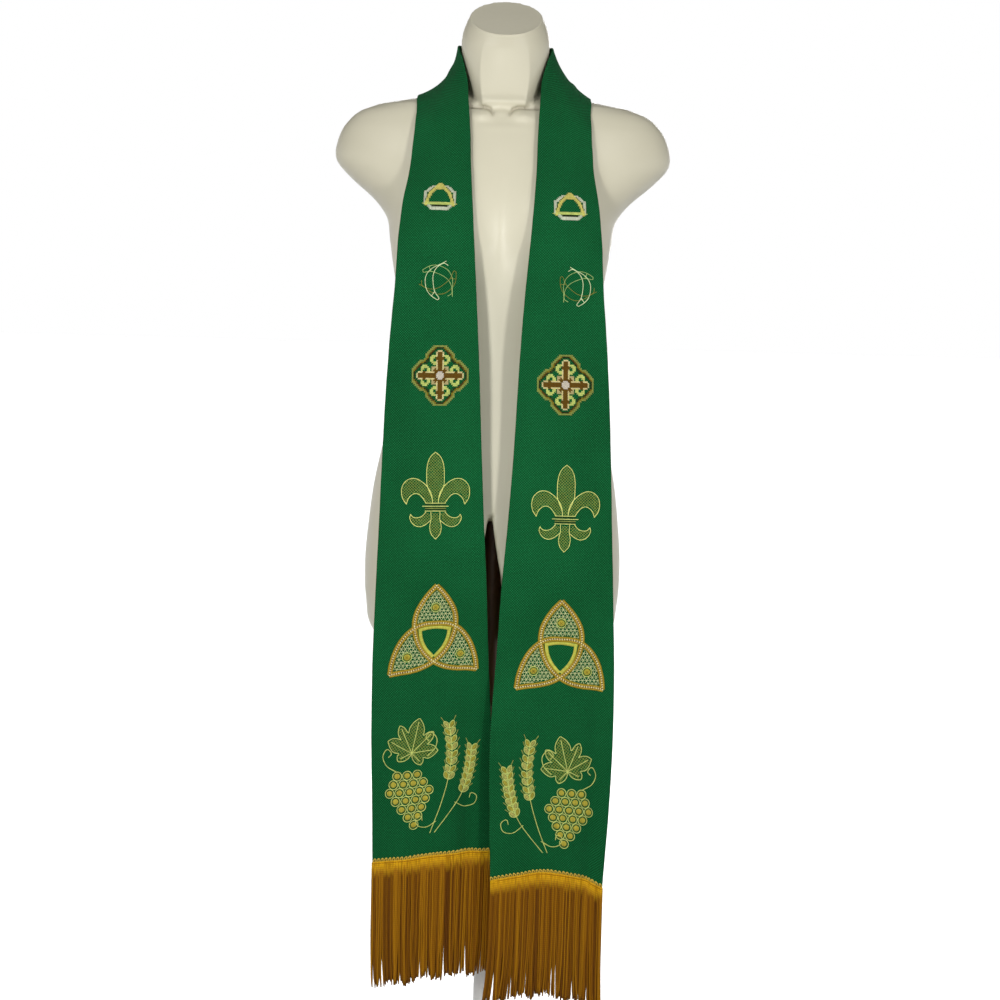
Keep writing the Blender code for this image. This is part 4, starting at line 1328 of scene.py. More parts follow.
def triquetra():
    """Motif 5: three beaded bands laced round a plain shield, with a net and a disc in each lobe."""
    leg = [
        (0.0, 56.0), (-9.0, 46.6), (-17.2, 35.4), (-23.2, 23.6), (-25.4, 11.0), (-24.0, -2.6),
        (-19.2, -16.6), (-11.0, -28.6), (0.0, -38.4), (13.0, -45.0), (28.0, -48.6), (42.0, -50.0),
        (54.0, -52.0)
    ]
    half_crown = [
        (-53.6, -52.0), (-51.8, -39.0), (-48.4, -27.0), (-43.4, -15.6), (-37.0, -6.0), (-29.0, 1.8),
        (-20.4, 6.8), (-11.0, 9.0), (0.0, 9.2)
    ]
    bands = [np.array(leg), mirrored(leg), np.vstack([half_crown, mirrored(half_crown[:-1])[::-1]])]
    for level, band in enumerate(bands):
        line = smooth_line(band * MM, step=0.0011)
        lift = 0.0002 + 0.0003 * level
        for aside, thread in BAND_ROWS:
            rail = even_line(offset_line(line, aside * MM), step=0.0021)
            yield backstitch(rail, thread, lift, slant=0.25)
        beads = even_line(line, step=0.0030)
        slant = turned(unit(np.gradient(beads, axis=0)), 50) * 0.60 * MM
        yield stitches(beads - slant, beads + slant, CREAM, lift + 0.0007)
    shield = [(-19.0, -0.4), (-16.2, 0.4), (0.0, 2.6), (16.2, 0.4), (19.0, -0.4)]
    side = [(16.4, 3.6), (16.2, 0.4), (14.6, -9.0), (9.6, -20.0), (0.0, -31.0)]
    for line in (shield, side, mirrored(side)[::-1]):
        rail = smooth_line(mm(line), step=0.0009)
        yield stitches(rail, offset_line(rail, 3.6 * MM), LEMON, lift=0.0004)
    discs = ((0.0, 29.0), (-33.0, -31.0), (33.0, -31.0))
    for outline, middle in zip(triquetra_lobes(bands), discs):
        middle = mm(middle)
        net_off = [(middle, 6.7 * MM)]
        yield lattice_fill(outline, 4.2 * MM, MINT, (0, 60, 120), margin=3.6 * MM, keep_off=net_off)
        ring = even_line(circle_points(middle, 5.7 * MM), step=0.0021)
        yield backstitch(ring, PALE, lift=0.0004)
        yield disc_satin(middle, 3.9 * MM, FINE_YELLOW, lift=0.0003)
        yield cross_cells(middle, 3.2 * MM, FINE_DULL_GOLD, lift=0.0012)


def triquetra_lobes(bands):
    """Outlines of the three lobes between the bands' middle lines."""
    leg, crown = [smooth_line(band * MM, OUTLINE_STEP) for band in (bands[0], bands[2])]
    above = np.interp(leg[:, 0], crown[:, 0], crown[:, 1]) < leg[:, 1]
    top_leg, low_leg = leg[: np.argmin(above)], leg[np.argmin(above):]
    over_crown = crown[(crown[:, 0] > top_leg[-1, 0]) & (crown[:, 0] < -top_leg[-1, 0])]
    top = np.vstack([top_leg, over_crown, mirrored(top_leg)[::-1]])
    inner_part = low_leg[low_leg[:, 0] < 0]
    outer_part = mirrored(low_leg[low_leg[:, 0] >= 0])
    side_crown = crown[crown[:, 0] < top_leg[-1, 0]]
    left = np.vstack([inner_part, outer_part, side_crown])
    return top, left, mirrored(left)


# Right half of the leaf's edge, from its stalk to its tip, in leaf sizes; the points of its lobes and
# the bays between them are where a run ends.
LEAF_RUNS = (
    ((0.00, -0.28), (0.10, -0.50), (0.26, -0.62), (0.44, -0.66)),
    ((0.44, -0.66), (0.50, -0.50), (0.46, -0.34)),
    ((0.46, -0.34), (0.66, -0.36), (0.82, -0.24), (0.98, 0.00)),
    ((0.98, 0.00), (0.82, 0.14), (0.62, 0.18), (0.50, 0.16)),
    ((0.50, 0.16), (0.62, 0.30), (0.68, 0.48), (0.66, 0.68)),
    ((0.66, 0.68), (0.50, 0.64), (0.36, 0.52), (0.28, 0.44)),
    ((0.28, 0.44), (0.28, 0.66), (0.20, 0.86), (0.00, 1.08)),
)
LEAF_STALK = -0.26
LEAF_VEINS = (
    (0.0, 0.92), (0.56, 0.56), (-0.56, 0.56), (0.82, 0.0), (-0.82, 0.0), (0.36, -0.52), (-0.36, -0.52)
)
GRAPE_ROWS = (3, 4, 5, 4, 3, 2, 1)
GRAPE_TOP = (-30.0, 2.0)  # middle of the top row
GRAPE_PITCH = 12.4
GRAPE_ROW_SHIFT = 1.2
GRAPE_ROW_CLOSE = 0.84  # rows are this share of the pitch apart
GRAPE_RADIUS = 5.7
GRAPE_SATIN = 3.4
WHEAT_STEMS = (
    ((-2.0, -74.0), (12.0, -40.0), (22.0, -6.0), (27.0, 30.0), (24.0, 62.0)),
    ((4.0, -74.0), (22.0, -52.0), (38.0, -28.0), (48.0, 2.0), (52.0, 30.0)),
)
TENDRILS = (
    ((-4.0, 24.0), (6.0, 34.0), (8.0, 46.0), (0.0, 54.0), (-6.0, 48.0), (-2.0, 43.0)),
    ((-44.0, 8.0), (-56.0, 16.0), (-60.0, 28.0), (-54.0, 36.0), (-49.0, 30.0), (-53.0, 26.0)),
    ((6.0, -60.0), (-8.0, -66.0), (-18.0, -62.0), (-20.0, -53.0), (-13.0, -51.0), (-12.0, -57.0)),
    ((30.0, -38.0), (44.0, -46.0), (56.0, -42.0), (58.0, -32.0), (51.0, -29.0), (49.0, -35.0)),
)


def vine_leaf(middle, size, turn):
    """A five-lobed leaf: its outline and its veins."""
    half = np.vstack([smooth_line(np.array(run), step=0.04) for run in LEAF_RUNS])
    edge = np.vstack([half, mirrored(half)[::-1]]) * size
    veins = [turned([(0.0, LEAF_STALK * size), (x * size, y * size)], turn) + middle for x, y in LEAF_VEINS]
    return turned(edge, turn) + middle, veins


def harvest_spray():
    """Motif 6: grapes with satin discs, a latticed vine leaf, two ears of wheat and tendrils."""
    for row, count in enumerate(GRAPE_ROWS):
        for place in range(count):
            x = GRAPE_TOP[0] + (place - (count - 1) / 2) * GRAPE_PITCH + row * GRAPE_ROW_SHIFT
            y = GRAPE_TOP[1] - row * GRAPE_PITCH * GRAPE_ROW_CLOSE
            middle = mm([x, y])
            ring = even_line(circle_points(middle, GRAPE_RADIUS * MM, count=30))
            yield backstitch(ring, PALE, lift=0.0004)
            yield disc_satin(middle, GRAPE_SATIN * MM, YELLOW, lift=0.0002, pitch=0.0010)
    leaf, veins = vine_leaf(np.array([-22.0, 38.0]), 33.0, -14)
    yield lattice_fill(leaf * MM, 2.8 * MM, OLIVE, angles=(35, 125), margin=1.2 * MM)
    leaf_edge = even_line(np.vstack([leaf, leaf[:1]]) * MM, step=0.0022)
    yield backstitch(leaf_edge, PALE, lift=0.0006, slant=0.12)
    for vein in veins:
        yield backstitch(even_line(vein * MM), PALE, lift=0.0008)
    for stem in WHEAT_STEMS:
        yield from wheat_ear(stem)
    for curl in TENDRILS:
        yield backstitch(smooth_line(mm(curl)), PALE, lift=0.0003)


EAR_PLACES = (0.50, 0.97)  # where along the stem its ear begins and ends
EAR_PAIRS = 8
KERNEL_LENGTH = 11.0
KERNEL_HALF_WIDTH = 2.9
KERNEL_FOOT = 1.2  # from the stem
KERNEL_LEAN = 30  # degrees
KERNEL_POINTS = 9
KERNEL_BLUNT = 0.8  # under 1, its ends are blunter
KERNEL_FILLED = 0.6
AWN_LENGTH = 6.0


def wheat_ear(stem):
    """A stem with pairs of kernels up its last half, each an outlined, filled lens with an awn."""
    line = smooth_line(mm(stem), OUTLINE_STEP)
    yield backstitch(even_line(line), PALE, lift=0.0004)
    swell = np.sin(np.linspace(0, math.pi, KERNEL_POINTS))[:, None] ** KERNEL_BLUNT * KERNEL_HALF_WIDTH * MM
    last = len(line) - 1
    for step, share in enumerate(np.linspace(*EAR_PLACES, EAR_PAIRS)):
        here = int(share * last)
        ahead = unit(line[min(last, here + 4)] - line[here])
        for aside in (-1, 1):
            lean = turned(ahead, KERNEL_LEAN * aside)
            across = to_left(lean)
            foot = line[here] + lean * KERNEL_FOOT * MM
            spine = foot + lean * np.linspace(0, KERNEL_LENGTH * MM, KERNEL_POINTS)[:, None]
            edge = np.vstack([spine + across * swell, (spine - across * swell)[::-1]])
            yield backstitch(even_line(edge, step=0.0023), PALE, lift=0.0004)
            reach = across * swell * KERNEL_FILLED
            thread = YELLOW if (step + (aside > 0)) % 2 else STRAW
            yield stitches((spine + reach)[1:-1], (spine - reach)[1:-1], thread)
            tip = foot + lean * KERNEL_LENGTH * MM
            awn = np.array([tip, tip + lean * AWN_LENGTH * MM])
            yield backstitch(even_line(awn), SAGE, lift=0.0002)


# Where each motif's middle shows on the two fronts, x and z in millimetres, and how the cloth's
# drag slants it: the rise of its cross line towards the inner edge, and the lean of its upright.
Motif = namedtuple(
    "Motif", "name draw right_x right_z right_rise right_lean left_x left_z left_rise left_lean"
)
MOTIFS = rows_of(
    Motif,
    ("ring", ring_and_arch, -74.7, 1106.3, 0.00, 0.00, 83.3, 1098.2, 0.00, 0.00),
    ("fish", three_fish_ring, -72.9, 1004.8, 0.00, 0.00, 94.1, 1001.3, 0.00, 0.00),
    ("medallion", cross_medallion, -68.9, 890.2, 0.02, 0.00, 83.6, 882.6, 0.00, 0.00),
    ("lily", fleur_de_lis, -71.0, 743.8, 0.03, 0.00, 88.0, 732.1, 0.00, 0.00),
    ("triquetra", triquetra, -68.4, 576.7, 0.08, 0.04, 87.4, 561.6, 0.00, 0.00),
    ("harvest", harvest_spray, -69.2, 395.4, 0.04, 0.00, 76.1, 377.2, 0.00, 0.00),
)


def model_stitch():
    """One stitch, a unit long and thick: a short rod with drawn-in ends that arches over the cloth."""
    deselect_all()
    bpy.ops.mesh.primitive_cylinder_add(
        vertices=STITCH_SIDES, radius=0.5, depth=1.0, end_fill_type="NGON", rotation=(0, math.pi / 2, 0)
    )
    rod = bpy.context.object
    bpy.ops.object.transform_apply(location=False, rotation=True, scale=False)
    bpy.ops.object.mode_set(mode="EDIT")
    for place in STITCH_BENDS:
        bpy.ops.mesh.select_all(action="SELECT")
        bpy.ops.mesh.bisect(plane_co=(place, 0, 0), plane_no=(1, 0, 0))
    bpy.ops.mesh.select_all(action="SELECT")
    bpy.ops.mesh.quads_convert_to_tris()
    leave_edit()
    points = np.array([vertex.co for vertex in rod.data.vertices])
    points[np.abs(points[:, 0]) > STITCH_BENDS[1] + 0.01, 1:] *= STITCH_END_SIZE
    points[:, 2] += STITCH_ARCH * (1 - (2 * points[:, 0]) ** 2) - STITCH_SINK
    faces = np.array([polygon.vertices[:] for polygon in rod.data.polygons])
    bpy.data.objects.remove(rod, do_unlink=True)
    return points, faces


def embroider(cloth, motif, template, material):
    """Copies of the stitch are laid on the cloth along every row of the motif and joined."""
    front = cloth.front
    work = np.vstack(list(motif.draw()))
    x, z, rise, lean = motif[6:10] if front.side > 0 else motif[2:6]
    place = cloth.place_of(x * MM, z * MM)
    slant = np.array([[1.0, rise], [lean, 1.0]])
    starts, out_start = cloth.work_at(place, work[:, 0:2] @ slant)
    ends, out_end = cloth.work_at(place, work[:, 2:4] @ slant)
    outward = unit(out_start + out_end)
    middle = (starts + ends) / 2 + outward * work[:, 5:6]
    reach = ends - starts
    length = np.linalg.norm(reach, axis=1, keepdims=True)
    ahead = reach / np.maximum(length, 1e-6)
    aside = np.cross(outward, ahead)
    chance = np.random.default_rng(front.seed)
    thick = work[:, 4:5] * chance.uniform(*STITCH_THICKNESS, (len(work), 1))
    points, faces = template
    placed = (
        middle[:, None, :]
        + ahead[:, None, :] * (points[None, :, 0:1] * (length + thick * STITCH_OVERSHOOT)[:, None, :])
        + aside[:, None, :] * (points[None, :, 1:2] * thick[:, None, :])
        + outward[:, None, :] * (points[None, :, 2:3] * (thick * STITCH_FLATTEN)[:, None, :])
    )
    count, corners = len(work), len(points)
    all_faces = (faces[None, :, :] + (np.arange(count) * corners)[:, None, None]).reshape(-1, 3)
    item = link_mesh("motif_%s_%s" % (motif.name, front.name), placed.reshape(-1, 3), all_faces, material)
    shade = chance.uniform(*STITCH_SHADE, (count, 1))
    colours = np.hstack([np.clip(work[:, 6:9] * shade, 0, 1), np.ones((count, 1))])
    write_colours(item.data, "thread_colour", np.repeat(colours, corners, axis=0))
    run = points[None, :, 0:1] * length[:, None, :] + np.arange(count)[:, None, None] * PLY_OFFSET
    turn = np.arctan2(points[:, 2], points[:, 1])[None, :, None] / FULL_TURN + np.zeros((count, 1, 1))
    write_uv(item.data, np.concatenate([turn, run], axis=2).reshape(-1, 2))
    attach(item, "root")
    return item


# ---- the fringe


def tube_rows(paths, radii, sides):
    """Points round each path; paths and radii have a row to a tube and a column to a ring."""
    along = unit(np.gradient(paths, axis=1))
    side = np.cross(along, np.array([0.0, 1.0, 0.0]))
    side /= np.maximum(np.linalg.norm(side, axis=2, keepdims=True), 1e-9)
    other = np.cross(along, side)
    turn = FULL_TURN * np.arange(sides) / sides
    ring = (
        side[:, :, None, :] * np.cos(turn)[None, None, :, None]
        + other[:, :, None, :] * np.sin(turn)[None, None, :, None]
    )
    return paths[:, :, None, :] + ring * radii[:, :, None, None]


def tube_mesh(name, paths, radii, sides, material, tones):
    """All tubes as one mesh with closed ends; UV runs once round each, and along it in metres."""
    points = tube_rows(paths, radii, sides)
    count, rings = paths.shape[:2]
    per_tube = rings * sides + 2
    ends = np.stack([paths[:, 0], paths[:, -1]], axis=1)
    places = np.concatenate([points.reshape(count, -1, 3), ends], axis=1).reshape(-1, 3)
    ring = np.arange(rings - 1)[:, None] * sides
    step = np.arange(sides)[None, :]
    turn = (step + 1) % sides
    a, b = ring + step, ring + turn
    c, d = a + sides, b + sides
    walls = np.concatenate([
        np.stack([a, b, c], axis=2).reshape(-1, 3),
        np.stack([b, d, c], axis=2).reshape(-1, 3),
    ])
    first, last = rings * sides, rings * sides + 1
    low, high = np.arange(sides), np.arange(sides) + (rings - 1) * sides
    caps = np.concatenate([
        np.stack([np.full(sides, first), np.roll(low, -1), low], axis=1),
        np.stack([np.full(sides, last), high, np.roll(high, -1)], axis=1),
    ])
    faces = np.concatenate([walls, caps])
    faces = (faces[None] + (np.arange(count) * per_tube)[:, None, None]).reshape(-1, 3)
    item = link_mesh(name, places, faces[:, ::-1], material)
    chords = np.linalg.norm(np.diff(paths, axis=1), axis=2)
    run = np.concatenate([np.zeros((count, 1)), np.cumsum(chords, axis=1)], axis=1)
    uv = np.zeros((count, per_tube, 2))
    uv[:, :-2, 0] = np.tile(np.arange(sides) / sides, rings)[None, :]
    uv[:, :-2, 1] = np.repeat(run, sides, axis=1)
    uv[:, -1, 1] = run[:, -1]
    write_uv(item.data, uv.reshape(-1, 2))
    write_values(item.data, "tone", np.repeat(tones, per_tube))
    return item


def waves(share, table, seed):
    """The waves of a table, added up, at places across the fringe."""
    return sum(height * np.sin(share * bends + shift * seed) for height, bends, shift in table)


def hang_row(cloth, row, count, chance):
    """Paths, radii and tones of one row of strands; row 0 is in front, row 1 behind it."""
    front = cloth.front
    share = (np.arange(count) + 0.5 + 0.5 * row) / (count + 0.5)
    share = share + chance.uniform(-ROOT_SCATTER, ROOT_SCATTER, count)
    across = np.clip(share, *WITHIN_EDGES)
    roots, outward = cloth.at(np.full(count, PANEL_LENGTH + ROOT_DEPTH), across)
    low, _ = cloth.at(np.full(count, PANEL_LENGTH + HEM_TURNING), across)
    down = unit(low - roots)
    length = STRAND_LENGTH - HEAD_LOSS + chance.uniform(-STRAND_RAGGED, STRAND_RAGGED, count)
    length += waves(share, LENGTH_WAVES, front.seed)
    part = np.linspace(0, 1, STRAND_RINGS) ** RINGS_CROWD
    gone = part[None, :, None] * length[:, None, None]
    ease = np.clip(gone / FALLS_STRAIGHT, 0, 1)
    hanging = down[:, None, :] * (1 - ease) + np.array([0, 0, -1.0]) * ease
    path = roots[:, None, :] + np.cumsum(hanging * np.diff(gone, axis=1, prepend=0), axis=1)

    swell = (HEAD_BULGE - row * BEHIND_BULGE_LESS) * (1 - np.exp(-gone / BULGE_REACH))
    bulge = swell + ROWS_APART * (1 - row) + ROOTS_PROUD
    settle = np.exp(-np.clip(gone - SETTLES_AFTER, 0, None) / SETTLE_REACH)
    path += outward[:, None, :] * (bulge * (STAYS_OUT + SINKS_BACK * settle))

    part = part[None, :]
    lean = front.inner_lean * (1 - share) ** 2 + front.outer_lean * share ** 2
    lean = lean + waves(share, CLUMP_WAVES, front.seed) + chance.normal(0, OWN_LEAN, count)
    sway = front.side * lean[:, None] * part ** LEAN_GROWTH
    wiggle = chance.normal(0, WIGGLE, (count, 1)) * part
    bends = chance.uniform(*WIGGLE_BENDS, (count, 1))
    wiggle = wiggle * np.sin(part * bends + chance.uniform(*WIGGLE_START, (count, 1)))
    path[:, :, 0] += sway + wiggle
    scatter = chance.normal(0, DEPTH_SCATTER, (count, 1)) * part
    path[:, :, 1] += scatter + waves(share, DEPTH_WAVES, front.seed)[:, None] * part

    radii = np.full(path.shape[:2], STRAND_THICK / 2) * chance.uniform(*STRAND_THICKNESS, (count, 1))
    radii *= 1 + BEHIND_THICKER * row
    radii[:, -1] *= TIP_SIZE
    return path, radii, chance.uniform(0, 1, count)


def fringe_strands(cloth, material):
    """Two rows of strands that bulge out over the header's edge and then hang, parted in places."""
    front = cloth.front
    chance = np.random.default_rng(front.seed * 7)
    counts = (STRANDS_IN_FRONT, STRANDS_BEHIND)
    rows = [hang_row(cloth, row, count, chance) for row, count in enumerate(counts)]
    paths, radii, tones = (np.concatenate(found) for found in zip(*rows))
    item = tube_mesh("fringe_strands_" + front.name, paths, radii, STRAND_SIDES, material, tones)
    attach(item, "root")
    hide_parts("fringe_" + front.name)
    return item


def picot_loops(cloth, material):
    """A row of small slanted loops that stand up over the header's edge."""
    front = cloth.front
    width = float(np.interp(PANEL_LENGTH, cloth.along, cloth.width))
    count = round(width / LOOP_PITCH)
    chance = np.random.default_rng(front.seed * 3)
    share = (np.arange(count) + 0.5) / count
    paths = np.zeros((count, LOOP_RINGS, 3))
    for ring, turn in enumerate(np.linspace(0, math.pi, LOOP_RINGS)):
        aside = (-math.cos(turn) * LOOP_HALF_WIDTH + LOOP_SLANT * math.sin(turn)) / width
        rise = LOOP_HEIGHT * math.sin(turn) - LOOP_SUNK
        lift = LOOP_PROUD + LOOP_ARCH * math.sin(turn)
        middle, outward = cloth.at(np.full(count, PANEL_LENGTH - rise), np.clip(share - aside, 0, 1))
        paths[:, ring] = middle + outward * (CLOTH_WALL / 2 + lift)
    paths += chance.normal(0, LOOP_SCATTER, (count, 1, 3))
    radii = np.full((count, LOOP_RINGS), LOOP_THICK / 2)
    tones = np.full(count, LOOP_TONE)
    return tube_mesh("fringe_loops_" + front.name, paths, radii, STRAND_SIDES, material, tones)


def header_binding(cloth, material):
    """Cords across the header; the lowest hangs on below the cloth's own hem."""
    share = np.linspace(*WITHIN_EDGES, CORD_POINTS)
    paths = []
    for cord in CORDS:
        along = np.full(CORD_POINTS, PANEL_LENGTH + min(cord.below, HEM_TURNING))
        middle, outward = cloth.at(along, share)
        path = middle + outward * (CLOTH_WALL / 2 + cord.proud)
        path[:, 2] -= max(0.0, cord.below - HEM_TURNING)
        paths.append(path)
    radii = np.full((len(CORDS), CORD_POINTS), CORD_RADIUS)
    tones = np.array([cord.tone for cord in CORDS])
    return tube_mesh(
        "fringe_binding_" + cloth.front.name, np.array(paths), radii, STRAND_SIDES, material, tones
    )


def fringe_header(cloth, material):
    """The header's braid: the loops and the binding under the strands' heads."""
    pieces = [picot_loops(cloth, material), header_binding(cloth, material)]
    for item in pieces:
        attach(item, "root")
    return pieces


# ---- finishes


class Finish:
    """A node material whose parts are added in the order that a finisher thinks of them."""

    def __init__(self, name, roughness, metallic=0.0, **fixed):
        self.material = bpy.data.materials.new(name)
        self.material.use_nodes = True
        self.tree = self.material.node_tree
        self.shader = self.tree.nodes["Principled BSDF"]
        self.set("Roughness", roughness)
        self.set("Metallic", metallic)
        for key, value in fixed.items():
            self.set(key.replace("_", " "), value)

    def set(self, socket, value):
        self.shader.inputs[socket].default_value = value

    def node(self, kind, **settings):
        node = self.tree.nodes.new("ShaderNode" + kind)
        for key, value in settings.items():
            setattr(node, key, value)
        return node

    def link(self, source, target):
        self.tree.links.new(source, target)

    def coordinates(self, output):
        return self.node("TexCoord").outputs[output]

    def value(self, name):
        return self.node("Attribute", attribute_name=name)

    def math(self, operation, first, second=0.0):
        node = self.node("Math", operation=operation)
        for socket, source in zip(node.inputs, (first, second)):
            if isinstance(source, (int, float)):
                socket.default_value = source
            else:
                self.link(source, socket)
        return node.outputs[0]

    def times(self, first, second):
        return self.math("MULTIPLY", first, second)

    def plus(self, first, second):
        return self.math("ADD", first, second)

    def minus(self, first, second):
        return self.math("SUBTRACT", first, second)

    def split(self, vector):
        node = self.node("SeparateXYZ")
        self.link(vector, node.inputs[0])
        return node.outputs

    def noise(self, vector, scale, detail=3.0, roughness=0.55):
        node = self.node("TexNoise")
        node.inputs["Scale"].default_value = scale
        node.inputs["Detail"].default_value = detail
        node.inputs["Roughness"].default_value = roughness
        self.link(vector, node.inputs["Vector"])
        return node.outputs["Fac"]

    def rescale(self, value, old, new):
        """The value, moved from its old range to a new one."""
        node = self.node("MapRange")
        for socket, number in zip(("From Min", "From Max", "To Min", "To Max"), (*old, *new)):
            node.inputs[socket].default_value = number
        self.link(value, node.inputs["Value"])
        return node.outputs["Result"]

    def ramp(self, factor, stops):
        """Colours at places of the factor, blended in between."""
        node = self.node("ValToRGB")
        while len(node.color_ramp.elements) < len(stops):
            node.color_ramp.elements.new(0.5)
        for element, (place, colour) in zip(node.color_ramp.elements, stops):
            element.position = place
            element.color = (*colour, 1.0)
        self.link(factor, node.inputs["Fac"])
        return node.outputs["Color"]

    def mix(self, factor, first, second, blend="MIX"):
        """Two colours mixed; the node has sockets of one name for several types of data."""
        node = self.node("Mix", data_type="RGBA", blend_type=blend)
        for name, source in (("Factor", factor), ("A", first), ("B", second)):
            socket = next(s for s in node.inputs if s.name == name and s.type in ("VALUE", "RGBA")
                          and (name == "Factor") == (s.type == "VALUE"))
            if isinstance(source, (int, float)):
                socket.default_value = source
            elif isinstance(source, tuple):
                socket.default_value = (*source, 1.0)
            else:
                self.link(source, socket)
        return next(s for s in node.outputs if s.type == "RGBA")

    def bump(self, height, strength, distance):
        node = self.node("Bump")
        node.inputs["Strength"].default_value = strength
        node.inputs["Distance"].default_value = distance
        self.link(height, node.inputs["Height"])
        self.link(node.outputs["Normal"], self.shader.inputs["Normal"])

    def colour(self, source):
        self.link(source, self.shader.inputs["Base Color"])

    def rough(self, source):
        self.link(source, self.shader.inputs["Roughness"])


WEAVE_CELL = 0.00155  # one block of the evenweave
THREAD_WIND = 0.0011  # length in which the embroidery thread winds round once
FRINGE_WIND = 0.0026
LIT_HEAD_LENGTH = 0.030  # a strand's painted highlight on its head has faded within this length
LIT_HEADS_RAGGED = 0.012  # how unevenly the painted highlight ends, from strand to strand
BRAID_TONE = 1.001  # tones above this have the braid's own colours


def green_evenweave():
    """Blocks of threads that go over and under by turns, with a small hole at each corner."""
    finish = Finish(
        "green_evenweave", roughness=0.92, Sheen_Weight=0.05, Sheen_Roughness=0.5, Specular_IOR_Level=0.08
    )
    finish.set("Sheen Tint", (0.45, 0.85, 0.55, 1.0))
    place = finish.coordinates("UV")
    across, along, _ = finish.split(place)
    axes = (across, along)
    over, under = [finish.math("SINE", finish.times(axis, math.pi / WEAVE_CELL)) for axis in axes]
    checker = finish.times(over, under)
    gap, other_gap = [finish.math("COSINE", finish.times(axis, FULL_TURN / WEAVE_CELL)) for axis in axes]
    hole = finish.times(finish.plus(gap, 1.0), finish.plus(other_gap, 1.0))
    hole = finish.math("POWER", finish.times(hole, 0.25), 2.5)
    height = finish.minus(finish.times(checker, 0.5), hole)
    cloudy = finish.noise(place, scale=9.0, detail=4.0)
    slub = finish.noise(place, scale=420.0, detail=2.0)
    # Painted light and shade: the raised blocks are coloured lighter and the holes darker, as light would
    # fall on the weave; the clouds and slubs that follow are the cloth's own uneven tone.
    tone = finish.plus(finish.times(checker, 0.42), 0.5)
    tone = finish.minus(tone, finish.times(hole, 0.45))
    tone = finish.plus(tone, finish.times(finish.minus(cloudy, 0.5), 0.30))
    tone = finish.plus(tone, finish.times(finish.minus(slub, 0.5), 0.35))
    finish.colour(finish.ramp(tone, (
        (0.05, (0.0006, 0.018, 0.0050)),
        (0.42, (0.0030, 0.082, 0.0220)),
        (0.62, (0.0048, 0.112, 0.0320)),
        (0.95, (0.0120, 0.200, 0.0640)),
    )))
    finish.bump(height, strength=0.55, distance=0.0005)
    return finish.material


def wound_plies(finish, plies, wind):
    """How far along its thread a place lies, and a wave that winds round it as its plies do."""
    turn, run, _ = finish.split(finish.coordinates("UV"))
    wound = finish.plus(finish.times(turn, plies), finish.times(run, 1 / wind))
    return run, finish.math("SINE", finish.times(wound, FULL_TURN))


def colour_plies(finish, colour, ply, dim):
    """The colour, dimmed where the plies turn away."""
    shade = finish.ramp(finish.plus(ply, 0.5), ((0.0, dim), (1.0, (1.0, 1.0, 1.0))))
    finish.colour(finish.mix(1.0, colour, shade, "MULTIPLY"))


def spun_thread():
    """Thread whose two plies wind round it; the colour comes from each stitch."""
    finish = Finish(
        "embroidery_thread", roughness=0.6, Sheen_Weight=0.02, Sheen_Roughness=0.4, Specular_IOR_Level=0.10
    )
    _, ply = wound_plies(finish, plies=2.0, wind=THREAD_WIND)
    colour_plies(finish, finish.value("thread_colour").outputs["Color"], ply, dim=(0.62, 0.60, 0.56))
    finish.bump(ply, strength=0.35, distance=0.0002)
    return finish.material


def gold_fringe():
    """Old gold rayon, with a painted highlight on the strands' heads where they bend over the header,
    darker where they hang.
    """
    finish = Finish(
        "gold_fringe_cord", roughness=0.55, Sheen_Weight=0.02, Sheen_Roughness=0.4, Specular_IOR_Level=0.10
    )
    run, ply = wound_plies(finish, plies=1.0, wind=FRINGE_WIND)
    tone = finish.value("tone").outputs["Fac"]
    hanging = finish.ramp(tone, (
        (0.0, (0.130, 0.043, 0.0010)),
        (0.5, (0.260, 0.102, 0.0018)),
        (1.0, (0.420, 0.188, 0.0044)),
    ))
    # Painted highlight: the heads are coloured much brighter than the hanging strands, as if lit where they
    # bend over the header.
    heads = finish.ramp(tone, (
        (0.0, (0.480, 0.240, 0.0030)),
        (1.0, (0.900, 0.520, 0.0120)),
    ))
    ragged = finish.plus(run, finish.times(finish.minus(tone, 0.5), LIT_HEADS_RAGGED))
    past_lit_heads = finish.ramp(finish.times(ragged, 1 / LIT_HEAD_LENGTH), (
        (0.0, (0.0, 0.0, 0.0)),
        (0.22, (0.10, 0.10, 0.10)),
        (0.55, (1.0, 1.0, 1.0)),
    ))
    body = finish.mix(past_lit_heads, heads, hanging)
    braid = finish.ramp(finish.minus(tone, 1.0), (
        (0.0, (0.560, 0.300, 0.0110)),
        (0.6, (0.680, 0.420, 0.0300)),
        (1.0, (0.760, 0.540, 0.0900)),
    ))
    body = finish.mix(finish.math("GREATER_THAN", tone, BRAID_TONE), body, braid)
    colour_plies(finish, body, ply, dim=(0.80, 0.77, 0.70))
    finish.bump(ply, strength=0.3, distance=0.0003)
    return finish.material


